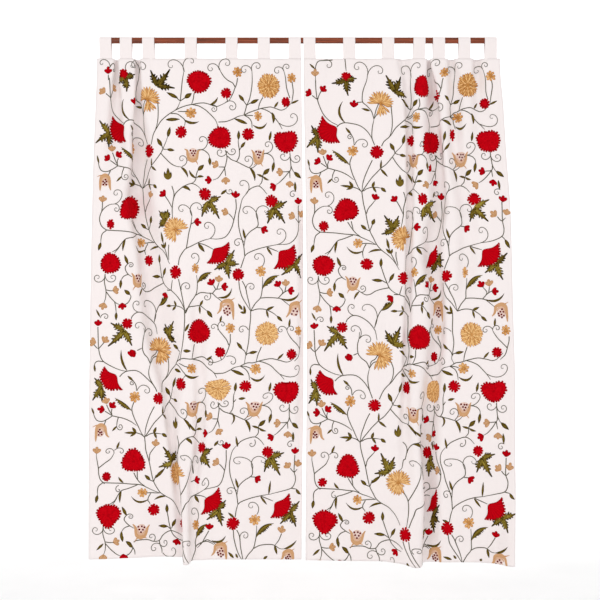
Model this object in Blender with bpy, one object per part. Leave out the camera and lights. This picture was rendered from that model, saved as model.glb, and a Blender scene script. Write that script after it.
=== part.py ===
"""A pair of cotton curtains that hang by tabs from one wooden rod.

Lengths are metres. X runs along the rod to the viewer's right, the room is at -Y and Z is up.
The origin is on the rod's axis, halfway along it.
"""

from typing import NamedTuple

import bmesh
import bpy
import numpy as np

# Driving dimensions
ROD_DIAMETER = 0.0254
ROD_LENGTH = 1.612
CLOTH_WIDTH = 0.945
CLOTH_DROP = 2.052
CLOTH_THICKNESS = 0.002
TAB_WIDTH = 0.0505
TAB_THICKNESS = 0.0016
TAB_FALL = 0.0728
SEAM_GAP = 0.0003
SAG_GROWTH = 4

# The steepest turn of a fold's flank from the rod's line, and how much folds may be gathered
STEEPEST_TURN = 1.95
LEAST_GATHER = 0.2
MOST_GATHER = 1.8
GATHER_HALVINGS = 18

# How finely the solids are faceted
CLOTH_COLUMNS = 60
CLOTH_ROWS = 15
ROW_SPREAD = 1.35
TURN_WEIGHT = 0.045
PROFILE_STEPS = 378
TURN_STEPS = 200
TAB_ARC_STEPS = 14
ROD_SIDES = 32
SHARP_ANGLE = np.radians(40)

# Plain colours and finishes
COTTON_COLOUR = (0.90, 0.86, 0.86)
COTTON_ROUGHNESS = 0.85
WOOD_COLOUR = (0.33, 0.11, 0.05)
WOOD_ROUGHNESS = 0.35


class Edges(NamedTuple):
    """Where a curtain's two side edges hang, at one drop below its top edge."""

    drop: float
    left: float
    right: float


class Fold(NamedTuple):
    """One fold at one drop: its middle and reach along the flat cloth, and how far back it goes."""

    drop: float
    place: float
    left: float
    right: float
    depth: float


class HemPoint(NamedTuple):
    """How far the hem hangs below its level, at one place along the flat cloth."""

    place: float
    sag: float


class Curtain(NamedTuple):
    """One curtain: its hung edges, its folds from top to hem, its hem, and where its tabs are sewn."""

    name: str
    edges: list
    folds: dict
    hem: list
    tabs: list


LEFT_CURTAIN = Curtain(
    name="left",
    edges=[
        Edges(0.000, -0.822, 0.014),
        Edges(0.210, -0.829, 0.016),
        Edges(0.375, -0.836, 0.018),
        Edges(0.825, -0.847, 0.022),
        Edges(1.300, -0.854, 0.023),
        Edges(1.680, -0.857, 0.018),
        Edges(2.052, -0.856, 0.014),
    ],
    folds={
        "first tab fold": [
            Fold(0.00, 0.107, 0.046, 0.046, 0.036),
            Fold(0.16, 0.102, 0.057, 0.057, 0.038),
            Fold(0.30, 0.098, 0.065, 0.065, 0.032),
            Fold(0.42, 0.098, 0.074, 0.074, 0.016),
            Fold(0.60, 0.098, 0.074, 0.074, 0.000),
        ],
        "long valley": [
            Fold(0.00, 0.249, 0.046, 0.046, 0.035),
            Fold(0.16, 0.245, 0.053, 0.061, 0.041),
            Fold(0.37, 0.233, 0.090, 0.123, 0.065),
            Fold(0.56, 0.221, 0.106, 0.147, 0.075),
            Fold(0.80, 0.250, 0.082, 0.147, 0.060),
            Fold(1.11, 0.294, 0.098, 0.164, 0.062),
            Fold(1.36, 0.339, 0.065, 0.098, 0.048),
            Fold(1.70, 0.372, 0.045, 0.053, 0.033),
            Fold(2.05, 0.395, 0.049, 0.049, 0.020),
        ],
        "hem valley": [
            Fold(0.72, 0.483, 0.045, 0.049, 0.000),
            Fold(1.11, 0.491, 0.045, 0.049, 0.017),
            Fold(1.60, 0.507, 0.045, 0.049, 0.026),
            Fold(1.73, 0.485, 0.045, 0.049, 0.026),
            Fold(2.05, 0.493, 0.049, 0.049, 0.014),
        ],
        "hem hollow": [
            Fold(1.50, 0.300, 0.160, 0.100, 0.000),
            Fold(2.05, 0.330, 0.160, 0.110, 0.030),
        ],
        "hem crest": [
            Fold(1.40, 0.442, 0.100, 0.100, 0.000),
            Fold(1.80, 0.442, 0.070, 0.080, -0.025),
            Fold(2.05, 0.444, 0.065, 0.065, -0.044),
        ],
        "turned edge": [
            Fold(0.50, 0.945, 0.053, 0.000, 0.000),
            Fold(0.70, 0.945, 0.053, 0.000, 0.036),
            Fold(1.37, 0.945, 0.053, 0.000, 0.033),
            Fold(1.60, 0.945, 0.053, 0.000, 0.015),
            Fold(2.05, 0.945, 0.053, 0.000, 0.003),
        ],
    },
    hem=[
        HemPoint(0.000, -0.003),
        HemPoint(0.235, -0.010),
        HemPoint(0.385, -0.006),
        HemPoint(0.444, 0.016),
        HemPoint(0.505, 0.005),
        HemPoint(0.600, 0.000),
        HemPoint(0.945, 0.000),
    ],
    tabs=[0.036, 0.178, 0.320, 0.493, 0.659, 0.791, 0.918],
)

RIGHT_CURTAIN = Curtain(
    name="right",
    edges=[
        Edges(0.000, 0.022, 0.826),
        Edges(0.210, 0.024, 0.841),
        Edges(0.375, 0.027, 0.851),
        Edges(0.640, 0.031, 0.870),
        Edges(0.990, 0.035, 0.879),
        Edges(1.400, 0.034, 0.889),
        Edges(1.680, 0.032, 0.885),
        Edges(2.052, 0.031, 0.876),
    ],
    folds={
        "narrow crease": [
            Fold(0.00, 0.416, 0.045, 0.045, 0.021),
            Fold(0.11, 0.438, 0.045, 0.045, 0.025),
            Fold(0.33, 0.450, 0.045, 0.045, 0.030),
            Fold(0.72, 0.442, 0.045, 0.045, 0.031),
            Fold(1.36, 0.421, 0.045, 0.045, 0.027),
            Fold(1.60, 0.409, 0.045, 0.045, 0.018),
            Fold(1.85, 0.409, 0.045, 0.045, 0.000),
        ],
        "deep fold": [
            Fold(0.00, 0.556, 0.045, 0.045, 0.035),
            Fold(0.11, 0.585, 0.082, 0.065, 0.051),
            Fold(0.33, 0.605, 0.098, 0.074, 0.053),
            Fold(0.57, 0.618, 0.098, 0.074, 0.055),
            Fold(0.80, 0.585, 0.098, 0.082, 0.054),
            Fold(1.03, 0.609, 0.098, 0.074, 0.054),
            Fold(1.37, 0.573, 0.098, 0.090, 0.057),
            Fold(1.60, 0.548, 0.090, 0.106, 0.063),
            Fold(1.81, 0.564, 0.095, 0.090, 0.050),
            Fold(2.05, 0.581, 0.118, 0.070, 0.018),
        ],
        "short valley": [
            Fold(0.00, 0.696, 0.045, 0.045, 0.031),
            Fold(0.11, 0.728, 0.057, 0.057, 0.029),
            Fold(0.33, 0.728, 0.057, 0.057, 0.028),
            Fold(0.69, 0.765, 0.065, 0.065, 0.022),
            Fold(0.87, 0.753, 0.065, 0.065, 0.025),
            Fold(1.05, 0.753, 0.074, 0.074, 0.000),
        ],
        "last tab fold": [
            Fold(0.00, 0.836, 0.045, 0.045, 0.030),
            Fold(0.11, 0.843, 0.049, 0.049, 0.024),
            Fold(0.33, 0.843, 0.057, 0.057, 0.010),
            Fold(0.50, 0.843, 0.057, 0.057, 0.000),
        ],
        "hem crest": [
            Fold(1.35, 0.466, 0.184, 0.114, 0.000),
            Fold(1.60, 0.466, 0.184, 0.114, -0.020),
            Fold(1.81, 0.466, 0.184, 0.114, -0.045),
            Fold(2.05, 0.466, 0.184, 0.118, -0.075),
        ],
        "swung edge": [
            Fold(1.50, 0.945, 0.098, 0.000, 0.000),
            Fold(1.85, 0.945, 0.098, 0.000, -0.025),
            Fold(2.05, 0.945, 0.098, 0.000, -0.045),
        ],
    },
    hem=[
        HemPoint(0.000, 0.000),
        HemPoint(0.270, 0.004),
        HemPoint(0.410, 0.002),
        HemPoint(0.470, 0.014),
        HemPoint(0.575, 0.008),
        HemPoint(0.760, 0.006),
        HemPoint(0.920, 0.014),
        HemPoint(0.945, 0.014),
    ],
    tabs=[0.025, 0.187, 0.346, 0.486, 0.626, 0.766, 0.906],
)


def smooth_rows(rows, drops):
    """The rows' values at each drop, on smooth curves that never swing past the rows."""
    table = np.array([tuple(row) for row in rows])
    stops, values = table[:, 0], table[:, 1:]
    secants = np.diff(values, axis=0) / np.diff(stops)[:, None]
    before, after = secants[:-1], secants[1:]
    same_way = before * after > 0
    middle = 2 * before * after / np.where(same_way, before + after, 1)
    level = np.zeros_like(secants[:1])
    slopes = np.vstack([level, np.where(same_way, middle, 0), level])
    at = np.clip(drops, stops[0], stops[-1])
    low = np.clip(np.searchsorted(stops, at, side="right") - 1, 0, len(stops) - 2)
    span = (stops[low + 1] - stops[low])[:, None]
    u = (at - stops[low])[:, None] / span
    start = values[low] * (1 + 2 * u) * (1 - u) ** 2 + slopes[low] * span * u * (1 - u) ** 2
    end = values[low + 1] * u**2 * (3 - 2 * u) + slopes[low + 1] * span * u**2 * (u - 1)
    return start + end


def flank_rises(turns):
    """How far a flank rises, as a share of its reach, for each steepest turn."""
    along = (np.arange(TURN_STEPS) + 0.5) / TURN_STEPS
    return np.sin(np.outer(turns, np.sin(np.pi * along))).mean(axis=1)


FLANK_TURNS = np.linspace(0, STEEPEST_TURN, TURN_STEPS)
FLANK_RISES = flank_rises(FLANK_TURNS)


def flank_turn(places, start, reach, rise):
    """How far the cloth turns from the rod's line along one flank, which rises towards the back."""
    if reach <= 0:
        return 0 * places
    steepest = np.sign(rise) * np.interp(abs(rise) / reach, FLANK_RISES, FLANK_TURNS)
    along = (places - start) / reach
    return np.where((along > 0) & (along < 1), steepest * np.sin(np.pi * np.clip(along, 0, 1)), 0)


def hung_line(places, edges, folds, gather):
    """X and Y of one level line of the cloth, walked from its left edge without stretching it."""
    turn = 0 * places
    for place, left, right, depth in folds:
        turn = turn + flank_turn(places, place - left, left, gather * depth)
        turn = turn + flank_turn(places, place, right, -gather * depth)
    step = np.diff(places)
    between = (turn[:-1] + turn[1:]) / 2
    x = edges[0] + np.concatenate([[0], np.cumsum(step * np.cos(between))])
    y = np.concatenate([[0], np.cumsum(step * np.sin(between))])
    return x, y


def gathered_line(places, edges, folds):
    """The level line whose folds are gathered just enough to end at the curtain's right edge."""
    least, most = LEAST_GATHER, MOST_GATHER
    for _ in range(GATHER_HALVINGS):
        gather = (least + most) / 2
        x, y = hung_line(places, edges, folds, gather)
        if x[-1] > edges[1]:
            least = gather
        else:
            most = gather
    return x, y


def hung_surface(curtain, drops, columns):
    """Points of the hung cloth, one row for each drop and one column for each place across it."""
    fine = np.linspace(0, CLOTH_WIDTH, PROFILE_STEPS + 1)
    edges = smooth_rows(curtain.edges, drops)
    folds = [smooth_rows(rows, drops) for rows in curtain.folds.values()]
    sag = smooth_rows(curtain.hem, columns)[:, 0]
    points = np.zeros((len(drops), len(columns), 3))
    for row, drop in enumerate(drops):
        x, y = gathered_line(fine, edges[row], [fold[row] for fold in folds])
        points[row, :, 0] = np.interp(columns, fine, x)
        points[row, :, 1] = np.interp(columns, fine, y)
        points[row, :, 2] = -TAB_FALL - drop - sag * (drop / CLOTH_DROP) ** SAG_GROWTH
    return points


def fold_columns(curtain, drops):
    """Places across the cloth that stand closer together where it turns more."""
    fine = np.linspace(0, CLOTH_WIDTH, PROFILE_STEPS + 1)
    points = hung_surface(curtain, drops, fine)
    heading = np.unwrap(np.arctan2(np.diff(points[..., 1]), np.diff(points[..., 0])))
    turning = np.abs(np.diff(heading, axis=1)).max(axis=0)
    weight = np.diff(fine) + TURN_WEIGHT * np.concatenate([turning, [0]])
    walked = np.concatenate([[0], np.cumsum(weight)])
    return np.interp(np.linspace(0, walked[-1], CLOTH_COLUMNS + 1), walked, fine)


def plain_material(name, colour, roughness):
    """A material of one colour and finish."""
    material = bpy.data.materials.new(name)
    material.use_nodes = True
    shader = material.node_tree.nodes["Principled BSDF"]
    shader.inputs["Base Color"].default_value = (*colour, 1)
    shader.inputs["Roughness"].default_value = roughness
    shader.inputs["Metallic"].default_value = 0
    return material


def new_object(name, mesh, material):
    """Puts one mesh into the scene under its piece's name."""
    mesh.materials.append(material)
    piece = bpy.data.objects.new(name, mesh)
    bpy.context.scene.collection.objects.link(piece)
    return piece


def make_curtain(curtain):
    """One hung panel, as a sheet of even thickness about its hung surface."""
    drops = CLOTH_DROP * np.linspace(0, 1, CLOTH_ROWS + 1) ** ROW_SPREAD
    columns = fold_columns(curtain, drops)
    points = hung_surface(curtain, drops, columns)
    mesh = bpy.data.meshes.new(f"curtain_{curtain.name}")
    across = len(columns)
    faces = [
        (row * across + column, (row + 1) * across + column,
         (row + 1) * across + column + 1, row * across + column + 1)
        for row in range(len(drops) - 1)
        for column in range(across - 1)
    ]
    mesh.from_pydata(points.reshape(-1, 3).tolist(), [], faces)
    mesh.shade_smooth()
    cotton = plain_material(f"cotton_{curtain.name}", COTTON_COLOUR, COTTON_ROUGHNESS)
    panel = new_object(f"curtain_{curtain.name}", mesh, cotton)
    sheet = panel.modifiers.new("sheet", "SOLIDIFY")
    sheet.thickness = CLOTH_THICKNESS
    sheet.offset = 0
    sheet.use_even_offset = True
    return panel


def loop_outline(radius, foot, half_foot):
    """Y and Z round a band that passes over the rod and closes at its foot."""
    reach = np.hypot(foot, half_foot)
    lean = np.arcsin(radius / reach) - np.arctan2(half_foot, foot)
    around = np.linspace(-lean, np.pi + lean, TAB_ARC_STEPS + 1)
    arc = [(radius * np.cos(angle), radius * np.sin(angle)) for angle in around]
    return arc + [(-half_foot, -foot), (half_foot, -foot)]


def make_tab(name, middle):
    """One tab: a doubled strip over the rod whose two ends meet at the curtain's top edge."""
    inner_radius = ROD_DIAMETER / 2 + SEAM_GAP
    foot = TAB_FALL - SEAM_GAP
    inner = loop_outline(inner_radius, foot - 2 * TAB_THICKNESS, SEAM_GAP)
    outer = loop_outline(inner_radius + TAB_THICKNESS, foot, TAB_THICKNESS)
    shape = bmesh.new()
    rings = []
    for side in (-0.5, 0.5):
        for outline in (inner, outer):
            rings.append([shape.verts.new((middle + side * TAB_WIDTH, y, z)) for y, z in outline])
    inner_left, outer_left, inner_right, outer_right = rings
    walk = (outer_left, inner_left, inner_right, outer_right, outer_left)
    for here, there in zip(walk, walk[1:]):
        for step in range(len(here)):
            ahead = (step + 1) % len(here)
            shape.faces.new((here[step], here[ahead], there[ahead], there[step]))
    bmesh.ops.recalc_face_normals(shape, faces=shape.faces)
    mesh = bpy.data.meshes.new(name)
    shape.to_mesh(mesh)
    shape.free()
    mesh.shade_smooth()
    mesh.set_sharp_from_angle(angle=SHARP_ANGLE)
    return new_object(name, mesh, plain_material(name, COTTON_COLOUR, COTTON_ROUGHNESS))


def make_tabs(curtain):
    """The tabs of one curtain, each over the place where it is sewn to the top edge."""
    tops = hung_surface(curtain, np.array([0.0]), np.array(curtain.tabs))[0]
    for number, top in enumerate(tops, start=1):
        make_tab(f"tab_{curtain.name}_{number}", float(top[0]))


def make_rod():
    """The wooden rod, a plain round dowel along X."""
    shape = bmesh.new()
    bmesh.ops.create_cone(
        shape, cap_ends=True, segments=ROD_SIDES,
        radius1=ROD_DIAMETER / 2, radius2=ROD_DIAMETER / 2, depth=ROD_LENGTH,
    )
    mesh = bpy.data.meshes.new("rod")
    shape.to_mesh(mesh)
    shape.free()
    mesh.shade_smooth()
    mesh.set_sharp_from_angle(angle=SHARP_ANGLE)
    rod = new_object("rod", mesh, plain_material("rod_wood", WOOD_COLOUR, WOOD_ROUGHNESS))
    rod.rotation_euler = (0, np.pi / 2, 0)
    return rod


for leftover in list(bpy.data.objects):
    bpy.data.objects.remove(leftover, do_unlink=True)

make_rod()
for hung in (LEFT_CURTAIN, RIGHT_CURTAIN):
    make_curtain(hung)
    make_tabs(hung)
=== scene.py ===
"""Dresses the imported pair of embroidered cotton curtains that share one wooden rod.

Lengths are metres unless a name says otherwise. X runs along the rod to the viewer's right, the
room and the embroidered face are at -Y, and Z is up. The origin is on the rod's axis, halfway
along it. The embroidery is worked from a chart whose squares are SQUARE wide. Places on it are
(across, line): squares from the cloth's left edge, and lines counted downwards, of which TOP_LINE
is the cloth's top edge.
"""

import logging
import math
from dataclasses import dataclass, field
from enum import Enum
from typing import NamedTuple

import bpy
import numpy as np
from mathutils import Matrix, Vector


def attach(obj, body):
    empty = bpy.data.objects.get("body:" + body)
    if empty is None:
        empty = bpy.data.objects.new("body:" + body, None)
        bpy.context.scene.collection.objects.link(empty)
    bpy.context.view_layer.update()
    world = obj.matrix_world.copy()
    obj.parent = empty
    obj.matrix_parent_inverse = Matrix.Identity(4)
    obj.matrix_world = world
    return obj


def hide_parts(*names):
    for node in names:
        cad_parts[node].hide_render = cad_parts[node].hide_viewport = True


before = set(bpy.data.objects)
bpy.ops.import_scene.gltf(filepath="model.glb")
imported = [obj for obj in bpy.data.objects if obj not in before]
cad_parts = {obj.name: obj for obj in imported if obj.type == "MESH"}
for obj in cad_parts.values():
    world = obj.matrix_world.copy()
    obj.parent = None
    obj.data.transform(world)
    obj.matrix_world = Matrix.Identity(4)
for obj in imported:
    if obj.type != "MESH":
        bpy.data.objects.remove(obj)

log = logging.getLogger("curtains")

# Sizes of the construction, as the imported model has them
CLOTH_WIDTH = 0.945
CLOTH_DROP = 2.052
TAB_WIDTH = 0.0505
TAB_FALL = 0.0728
ROD_DIAMETER = 0.0254
SAG_GROWTH = 4
STEEPEST_TURN = 1.95
LEAST_GATHER = 0.2
MOST_GATHER = 1.8
GATHER_HALVINGS = 18
PROFILE_STEPS = 378
TURN_STEPS = 200

# The embroidery chart; left of CHART_SPLIT its places are those of the right curtain's upper repeat,
# and from there on those of the left curtain's
SQUARE = 0.00409
TOP_LINE = 58.3
REPEAT_LINES = 251
CHART_SPLIT = 85
STITCH_ROW = 0.0016

# Curls: least steps, steps in one turn, how far they close and how soon they leave their stem
LEAST_CURL_STEPS = 24
CURL_STEPS = 18
CURLED_IN = 0.78
CURL_HASTE = 5

# How far a disc's stitches go round it, as a share of its mean radius, and how full small leaves are
ROUND_STITCHES = 0.8
LEAF_FULLNESS = 1.22

# Where the random unevenness of the hand work starts on each curtain
WOOL_SEEDS = {"left": 7, "right": 11}
TAB_SEEDS = {"left": 20, "right": 40}


class Edges(NamedTuple):
    """Where a curtain's two side edges hang, at one drop below its top edge."""

    drop: float
    left: float
    right: float


class Fold(NamedTuple):
    """One fold at one drop: its middle and reach along the flat cloth, and how far back it goes."""

    drop: float
    place: float
    left: float
    right: float
    depth: float


class HemPoint(NamedTuple):
    """How far the hem hangs below its level, at one place along the flat cloth."""

    place: float
    sag: float


class Crease(NamedTuple):
    """A small soft crease: its top and foot (place, drop), half its width and its depth to the back."""

    top: tuple
    foot: tuple
    reach: float
    depth: float


class Panel(NamedTuple):
    """One curtain: its hung edges, its folds from top to hem, its hem, its tabs and small creases."""

    name: str
    edges: list
    folds: dict
    hem: list
    tabs: list
    creases: list


LEFT_PANEL = Panel(
    name="left",
    edges=[
        Edges(0.000, -0.822, 0.014),
        Edges(0.210, -0.829, 0.016),
        Edges(0.375, -0.836, 0.018),
        Edges(0.825, -0.847, 0.022),
        Edges(1.300, -0.854, 0.023),
        Edges(1.680, -0.857, 0.018),
        Edges(2.052, -0.856, 0.014),
    ],
    folds={
        "first tab fold": [
            Fold(0.00, 0.107, 0.046, 0.046, 0.036),
            Fold(0.16, 0.102, 0.057, 0.057, 0.038),
            Fold(0.30, 0.098, 0.065, 0.065, 0.032),
            Fold(0.42, 0.098, 0.074, 0.074, 0.016),
            Fold(0.60, 0.098, 0.074, 0.074, 0.000),
        ],
        "long valley": [
            Fold(0.00, 0.249, 0.046, 0.046, 0.035),
            Fold(0.16, 0.245, 0.053, 0.061, 0.041),
            Fold(0.37, 0.233, 0.090, 0.123, 0.065),
            Fold(0.56, 0.221, 0.106, 0.147, 0.075),
            Fold(0.80, 0.250, 0.082, 0.147, 0.060),
            Fold(1.11, 0.294, 0.098, 0.164, 0.062),
            Fold(1.36, 0.339, 0.065, 0.098, 0.048),
            Fold(1.70, 0.372, 0.045, 0.053, 0.033),
            Fold(2.05, 0.395, 0.049, 0.049, 0.020),
        ],
        "hem valley": [
            Fold(0.72, 0.483, 0.045, 0.049, 0.000),
            Fold(1.11, 0.491, 0.045, 0.049, 0.017),
            Fold(1.60, 0.507, 0.045, 0.049, 0.026),
            Fold(1.73, 0.485, 0.045, 0.049, 0.026),
            Fold(2.05, 0.493, 0.049, 0.049, 0.014),
        ],
        "hem hollow": [
            Fold(1.50, 0.300, 0.160, 0.100, 0.000),
            Fold(2.05, 0.330, 0.160, 0.110, 0.030),
        ],
        "hem crest": [
            Fold(1.40, 0.442, 0.100, 0.100, 0.000),
            Fold(1.80, 0.442, 0.070, 0.080, -0.025),
            Fold(2.05, 0.444, 0.065, 0.065, -0.044),
        ],
        "turned edge": [
            Fold(0.50, 0.945, 0.053, 0.000, 0.000),
            Fold(0.70, 0.945, 0.053, 0.000, 0.036),
            Fold(1.37, 0.945, 0.053, 0.000, 0.033),
            Fold(1.60, 0.945, 0.053, 0.000, 0.015),
            Fold(2.05, 0.945, 0.053, 0.000, 0.003),
        ],
    },
    hem=[
        HemPoint(0.000, -0.003),
        HemPoint(0.235, -0.010),
        HemPoint(0.385, -0.006),
        HemPoint(0.444, 0.016),
        HemPoint(0.505, 0.005),
        HemPoint(0.600, 0.000),
        HemPoint(0.945, 0.000),
    ],
    tabs=[0.036, 0.178, 0.320, 0.493, 0.659, 0.791, 0.918],
    creases=[
        Crease((0.330, 0.0), (0.345, 0.42), 0.016, 0.0025),
        Crease((0.480, 0.0), (0.470, 0.35), 0.014, -0.0020),
        Crease((0.575, 0.0), (0.590, 0.50), 0.030, 0.0040),
        Crease((0.725, 0.0), (0.715, 0.60), 0.030, 0.0040),
        Crease((0.860, 0.0), (0.850, 0.45), 0.025, 0.0035),
        Crease((0.640, 0.6), (0.655, 1.50), 0.035, 0.0030),
        Crease((0.790, 0.7), (0.800, 1.80), 0.040, 0.0035),
    ],
)

RIGHT_PANEL = Panel(
    name="right",
    edges=[
        Edges(0.000, 0.022, 0.826),
        Edges(0.210, 0.024, 0.841),
        Edges(0.375, 0.027, 0.851),
        Edges(0.640, 0.031, 0.870),
        Edges(0.990, 0.035, 0.879),
        Edges(1.400, 0.034, 0.889),
        Edges(1.680, 0.032, 0.885),
        Edges(2.052, 0.031, 0.876),
    ],
    folds={
        "narrow crease": [
            Fold(0.00, 0.416, 0.045, 0.045, 0.021),
            Fold(0.11, 0.438, 0.045, 0.045, 0.025),
            Fold(0.33, 0.450, 0.045, 0.045, 0.030),
            Fold(0.72, 0.442, 0.045, 0.045, 0.031),
            Fold(1.36, 0.421, 0.045, 0.045, 0.027),
            Fold(1.60, 0.409, 0.045, 0.045, 0.018),
            Fold(1.85, 0.409, 0.045, 0.045, 0.000),
        ],
        "deep fold": [
            Fold(0.00, 0.556, 0.045, 0.045, 0.035),
            Fold(0.11, 0.585, 0.082, 0.065, 0.051),
            Fold(0.33, 0.605, 0.098, 0.074, 0.053),
            Fold(0.57, 0.618, 0.098, 0.074, 0.055),
            Fold(0.80, 0.585, 0.098, 0.082, 0.054),
            Fold(1.03, 0.609, 0.098, 0.074, 0.054),
            Fold(1.37, 0.573, 0.098, 0.090, 0.057),
            Fold(1.60, 0.548, 0.090, 0.106, 0.063),
            Fold(1.81, 0.564, 0.095, 0.090, 0.050),
            Fold(2.05, 0.581, 0.118, 0.070, 0.018),
        ],
        "short valley": [
            Fold(0.00, 0.696, 0.045, 0.045, 0.031),
            Fold(0.11, 0.728, 0.057, 0.057, 0.029),
            Fold(0.33, 0.728, 0.057, 0.057, 0.028),
            Fold(0.69, 0.765, 0.065, 0.065, 0.022),
            Fold(0.87, 0.753, 0.065, 0.065, 0.025),
            Fold(1.05, 0.753, 0.074, 0.074, 0.000),
        ],
        "last tab fold": [
            Fold(0.00, 0.836, 0.045, 0.045, 0.030),
            Fold(0.11, 0.843, 0.049, 0.049, 0.024),
            Fold(0.33, 0.843, 0.057, 0.057, 0.010),
            Fold(0.50, 0.843, 0.057, 0.057, 0.000),
        ],
        "hem crest": [
            Fold(1.35, 0.466, 0.184, 0.114, 0.000),
            Fold(1.60, 0.466, 0.184, 0.114, -0.020),
            Fold(1.81, 0.466, 0.184, 0.114, -0.045),
            Fold(2.05, 0.466, 0.184, 0.118, -0.075),
        ],
        "swung edge": [
            Fold(1.50, 0.945, 0.098, 0.000, 0.000),
            Fold(1.85, 0.945, 0.098, 0.000, -0.025),
            Fold(2.05, 0.945, 0.098, 0.000, -0.045),
        ],
    },
    hem=[
        HemPoint(0.000, 0.000),
        HemPoint(0.270, 0.004),
        HemPoint(0.410, 0.002),
        HemPoint(0.470, 0.014),
        HemPoint(0.575, 0.008),
        HemPoint(0.760, 0.006),
        HemPoint(0.920, 0.014),
        HemPoint(0.945, 0.014),
    ],
    tabs=[0.025, 0.187, 0.346, 0.486, 0.626, 0.766, 0.906],
    creases=[
        Crease((0.105, 0.0), (0.100, 0.50), 0.030, 0.0045),
        Crease((0.265, 0.0), (0.280, 0.45), 0.030, 0.0040),
        Crease((0.190, 0.5), (0.200, 1.40), 0.040, 0.0030),
        Crease((0.320, 0.6), (0.335, 1.50), 0.040, 0.0035),
        Crease((0.880, 0.0), (0.885, 0.55), 0.022, 0.0030),
    ],
)


@dataclass
class HungCloth:
    """The surface of one hung panel, fine enough to carry its stitching.

    A place on it is given by its flat sizes: how far across the cloth and how far down.
    """

    panel: Panel
    columns: int = 190
    rows: int = 218
    sparse_rows: int = 16
    turn_weight: float = 0.03
    face: float = 0.0004
    back: float = 0.0008
    heading: float = 0.097
    bottom_hem: float = 0.086
    side_hem: float = 0.018
    turned: float = 0.0008
    dimple: float = 0.0003
    crease_fade: float = 0.7
    across: np.ndarray = field(init=False)
    drops: np.ndarray = field(init=False)
    points: np.ndarray = field(init=False)
    normals: np.ndarray = field(init=False)

    def __post_init__(self) -> None:
        """Hangs the cloth."""
        turns = np.linspace(0, STEEPEST_TURN, TURN_STEPS)
        self._turns = turns
        self._rises = self._flank_rises(turns)
        self.across = self._fold_columns(np.linspace(0, 1, self.sparse_rows) * CLOTH_DROP)
        self.drops = self._fold_rows()
        self.points = self._creased(self._hung(self.drops, self.across))
        self.normals = self._normals(self.points)

    @staticmethod
    def _smooth_rows(rows: list, drops: np.ndarray) -> np.ndarray:
        """Rows' values at each drop, on smooth curves that never swing past the rows.

        Args:
            rows: Named rows whose first value is where each stands.
            drops: Where to read them.

        Returns:
            One row of values for each drop.
        """
        table = np.array([tuple(row) for row in rows])
        stops, values = table[:, 0], table[:, 1:]
        secants = np.diff(values, axis=0) / np.diff(stops)[:, None]
        before, after = secants[:-1], secants[1:]
        same_way = before * after > 0
        middle = 2 * before * after / np.where(same_way, before + after, 1)
        level = np.zeros_like(secants[:1])
        slopes = np.vstack([level, np.where(same_way, middle, 0), level])
        at = np.clip(drops, stops[0], stops[-1])
        low = np.clip(np.searchsorted(stops, at, side="right") - 1, 0, len(stops) - 2)
        span = (stops[low + 1] - stops[low])[:, None]
        u = (at - stops[low])[:, None] / span
        start = values[low] * (1 + 2 * u) * (1 - u) ** 2 + slopes[low] * span * u * (1 - u) ** 2
        end = values[low + 1] * u**2 * (3 - 2 * u) + slopes[low + 1] * span * u**2 * (u - 1)
        return start + end

    @staticmethod
    def _flank_rises(turns: np.ndarray) -> np.ndarray:
        """How far a flank rises, as a share of its reach, for each steepest turn."""
        along = (np.arange(TURN_STEPS) + 0.5) / TURN_STEPS
        return np.sin(np.outer(turns, np.sin(np.pi * along))).mean(axis=1)

    def _flank_turn(self, places: np.ndarray, start: float, reach: float, rise: float) -> np.ndarray:
        """How far the cloth turns from the rod's line along one flank that rises to the back."""
        if reach <= 0:
            return 0 * places
        steepest = np.sign(rise) * np.interp(abs(rise) / reach, self._rises, self._turns)
        along = (places - start) / reach
        return np.where((along > 0) & (along < 1), steepest * np.sin(np.pi * np.clip(along, 0, 1)), 0)

    def _hung_line(self, places: np.ndarray, edges: np.ndarray, folds: list, gather: float) -> tuple:
        """X and Y of one level line of the cloth, walked from its left edge without stretching it.

        Args:
            places: Places across the flat cloth.
            edges: X of the left and right edge at this level.
            folds: Each fold's middle, left and right reach and depth at this level.
            gather: How much the folds are gathered.

        Returns:
            X and Y of every place.
        """
        turn = 0 * places
        for place, left, right, depth in folds:
            turn = turn + self._flank_turn(places, place - left, left, gather * depth)
            turn = turn + self._flank_turn(places, place, right, -gather * depth)
        step = np.diff(places)
        between = (turn[:-1] + turn[1:]) / 2
        x = edges[0] + np.concatenate([[0], np.cumsum(step * np.cos(between))])
        y = np.concatenate([[0], np.cumsum(step * np.sin(between))])
        return x, y

    def _gathered_line(self, places: np.ndarray, edges: np.ndarray, folds: list) -> tuple:
        """The level line whose folds are gathered just enough to end at the right edge."""
        least, most = LEAST_GATHER, MOST_GATHER
        for _ in range(GATHER_HALVINGS):
            gather = (least + most) / 2
            x, y = self._hung_line(places, edges, folds, gather)
            if x[-1] > edges[1]:
                least = gather
            else:
                most = gather
        return x, y

    def _hung(self, drops: np.ndarray, columns: np.ndarray) -> np.ndarray:
        """Points of the hung cloth, one row for each drop and one column for each place across."""
        fine = np.linspace(0, CLOTH_WIDTH, PROFILE_STEPS + 1)
        edges = self._smooth_rows(self.panel.edges, drops)
        folds = [self._smooth_rows(rows, drops) for rows in self.panel.folds.values()]
        sag = self._smooth_rows(self.panel.hem, columns)[:, 0]
        points = np.zeros((len(drops), len(columns), 3))
        for row, drop in enumerate(drops):
            x, y = self._gathered_line(fine, edges[row], [fold[row] for fold in folds])
            points[row, :, 0] = np.interp(columns, fine, x)
            points[row, :, 1] = np.interp(columns, fine, y)
            points[row, :, 2] = -TAB_FALL - drop - sag * (drop / CLOTH_DROP) ** SAG_GROWTH
        return points

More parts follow.
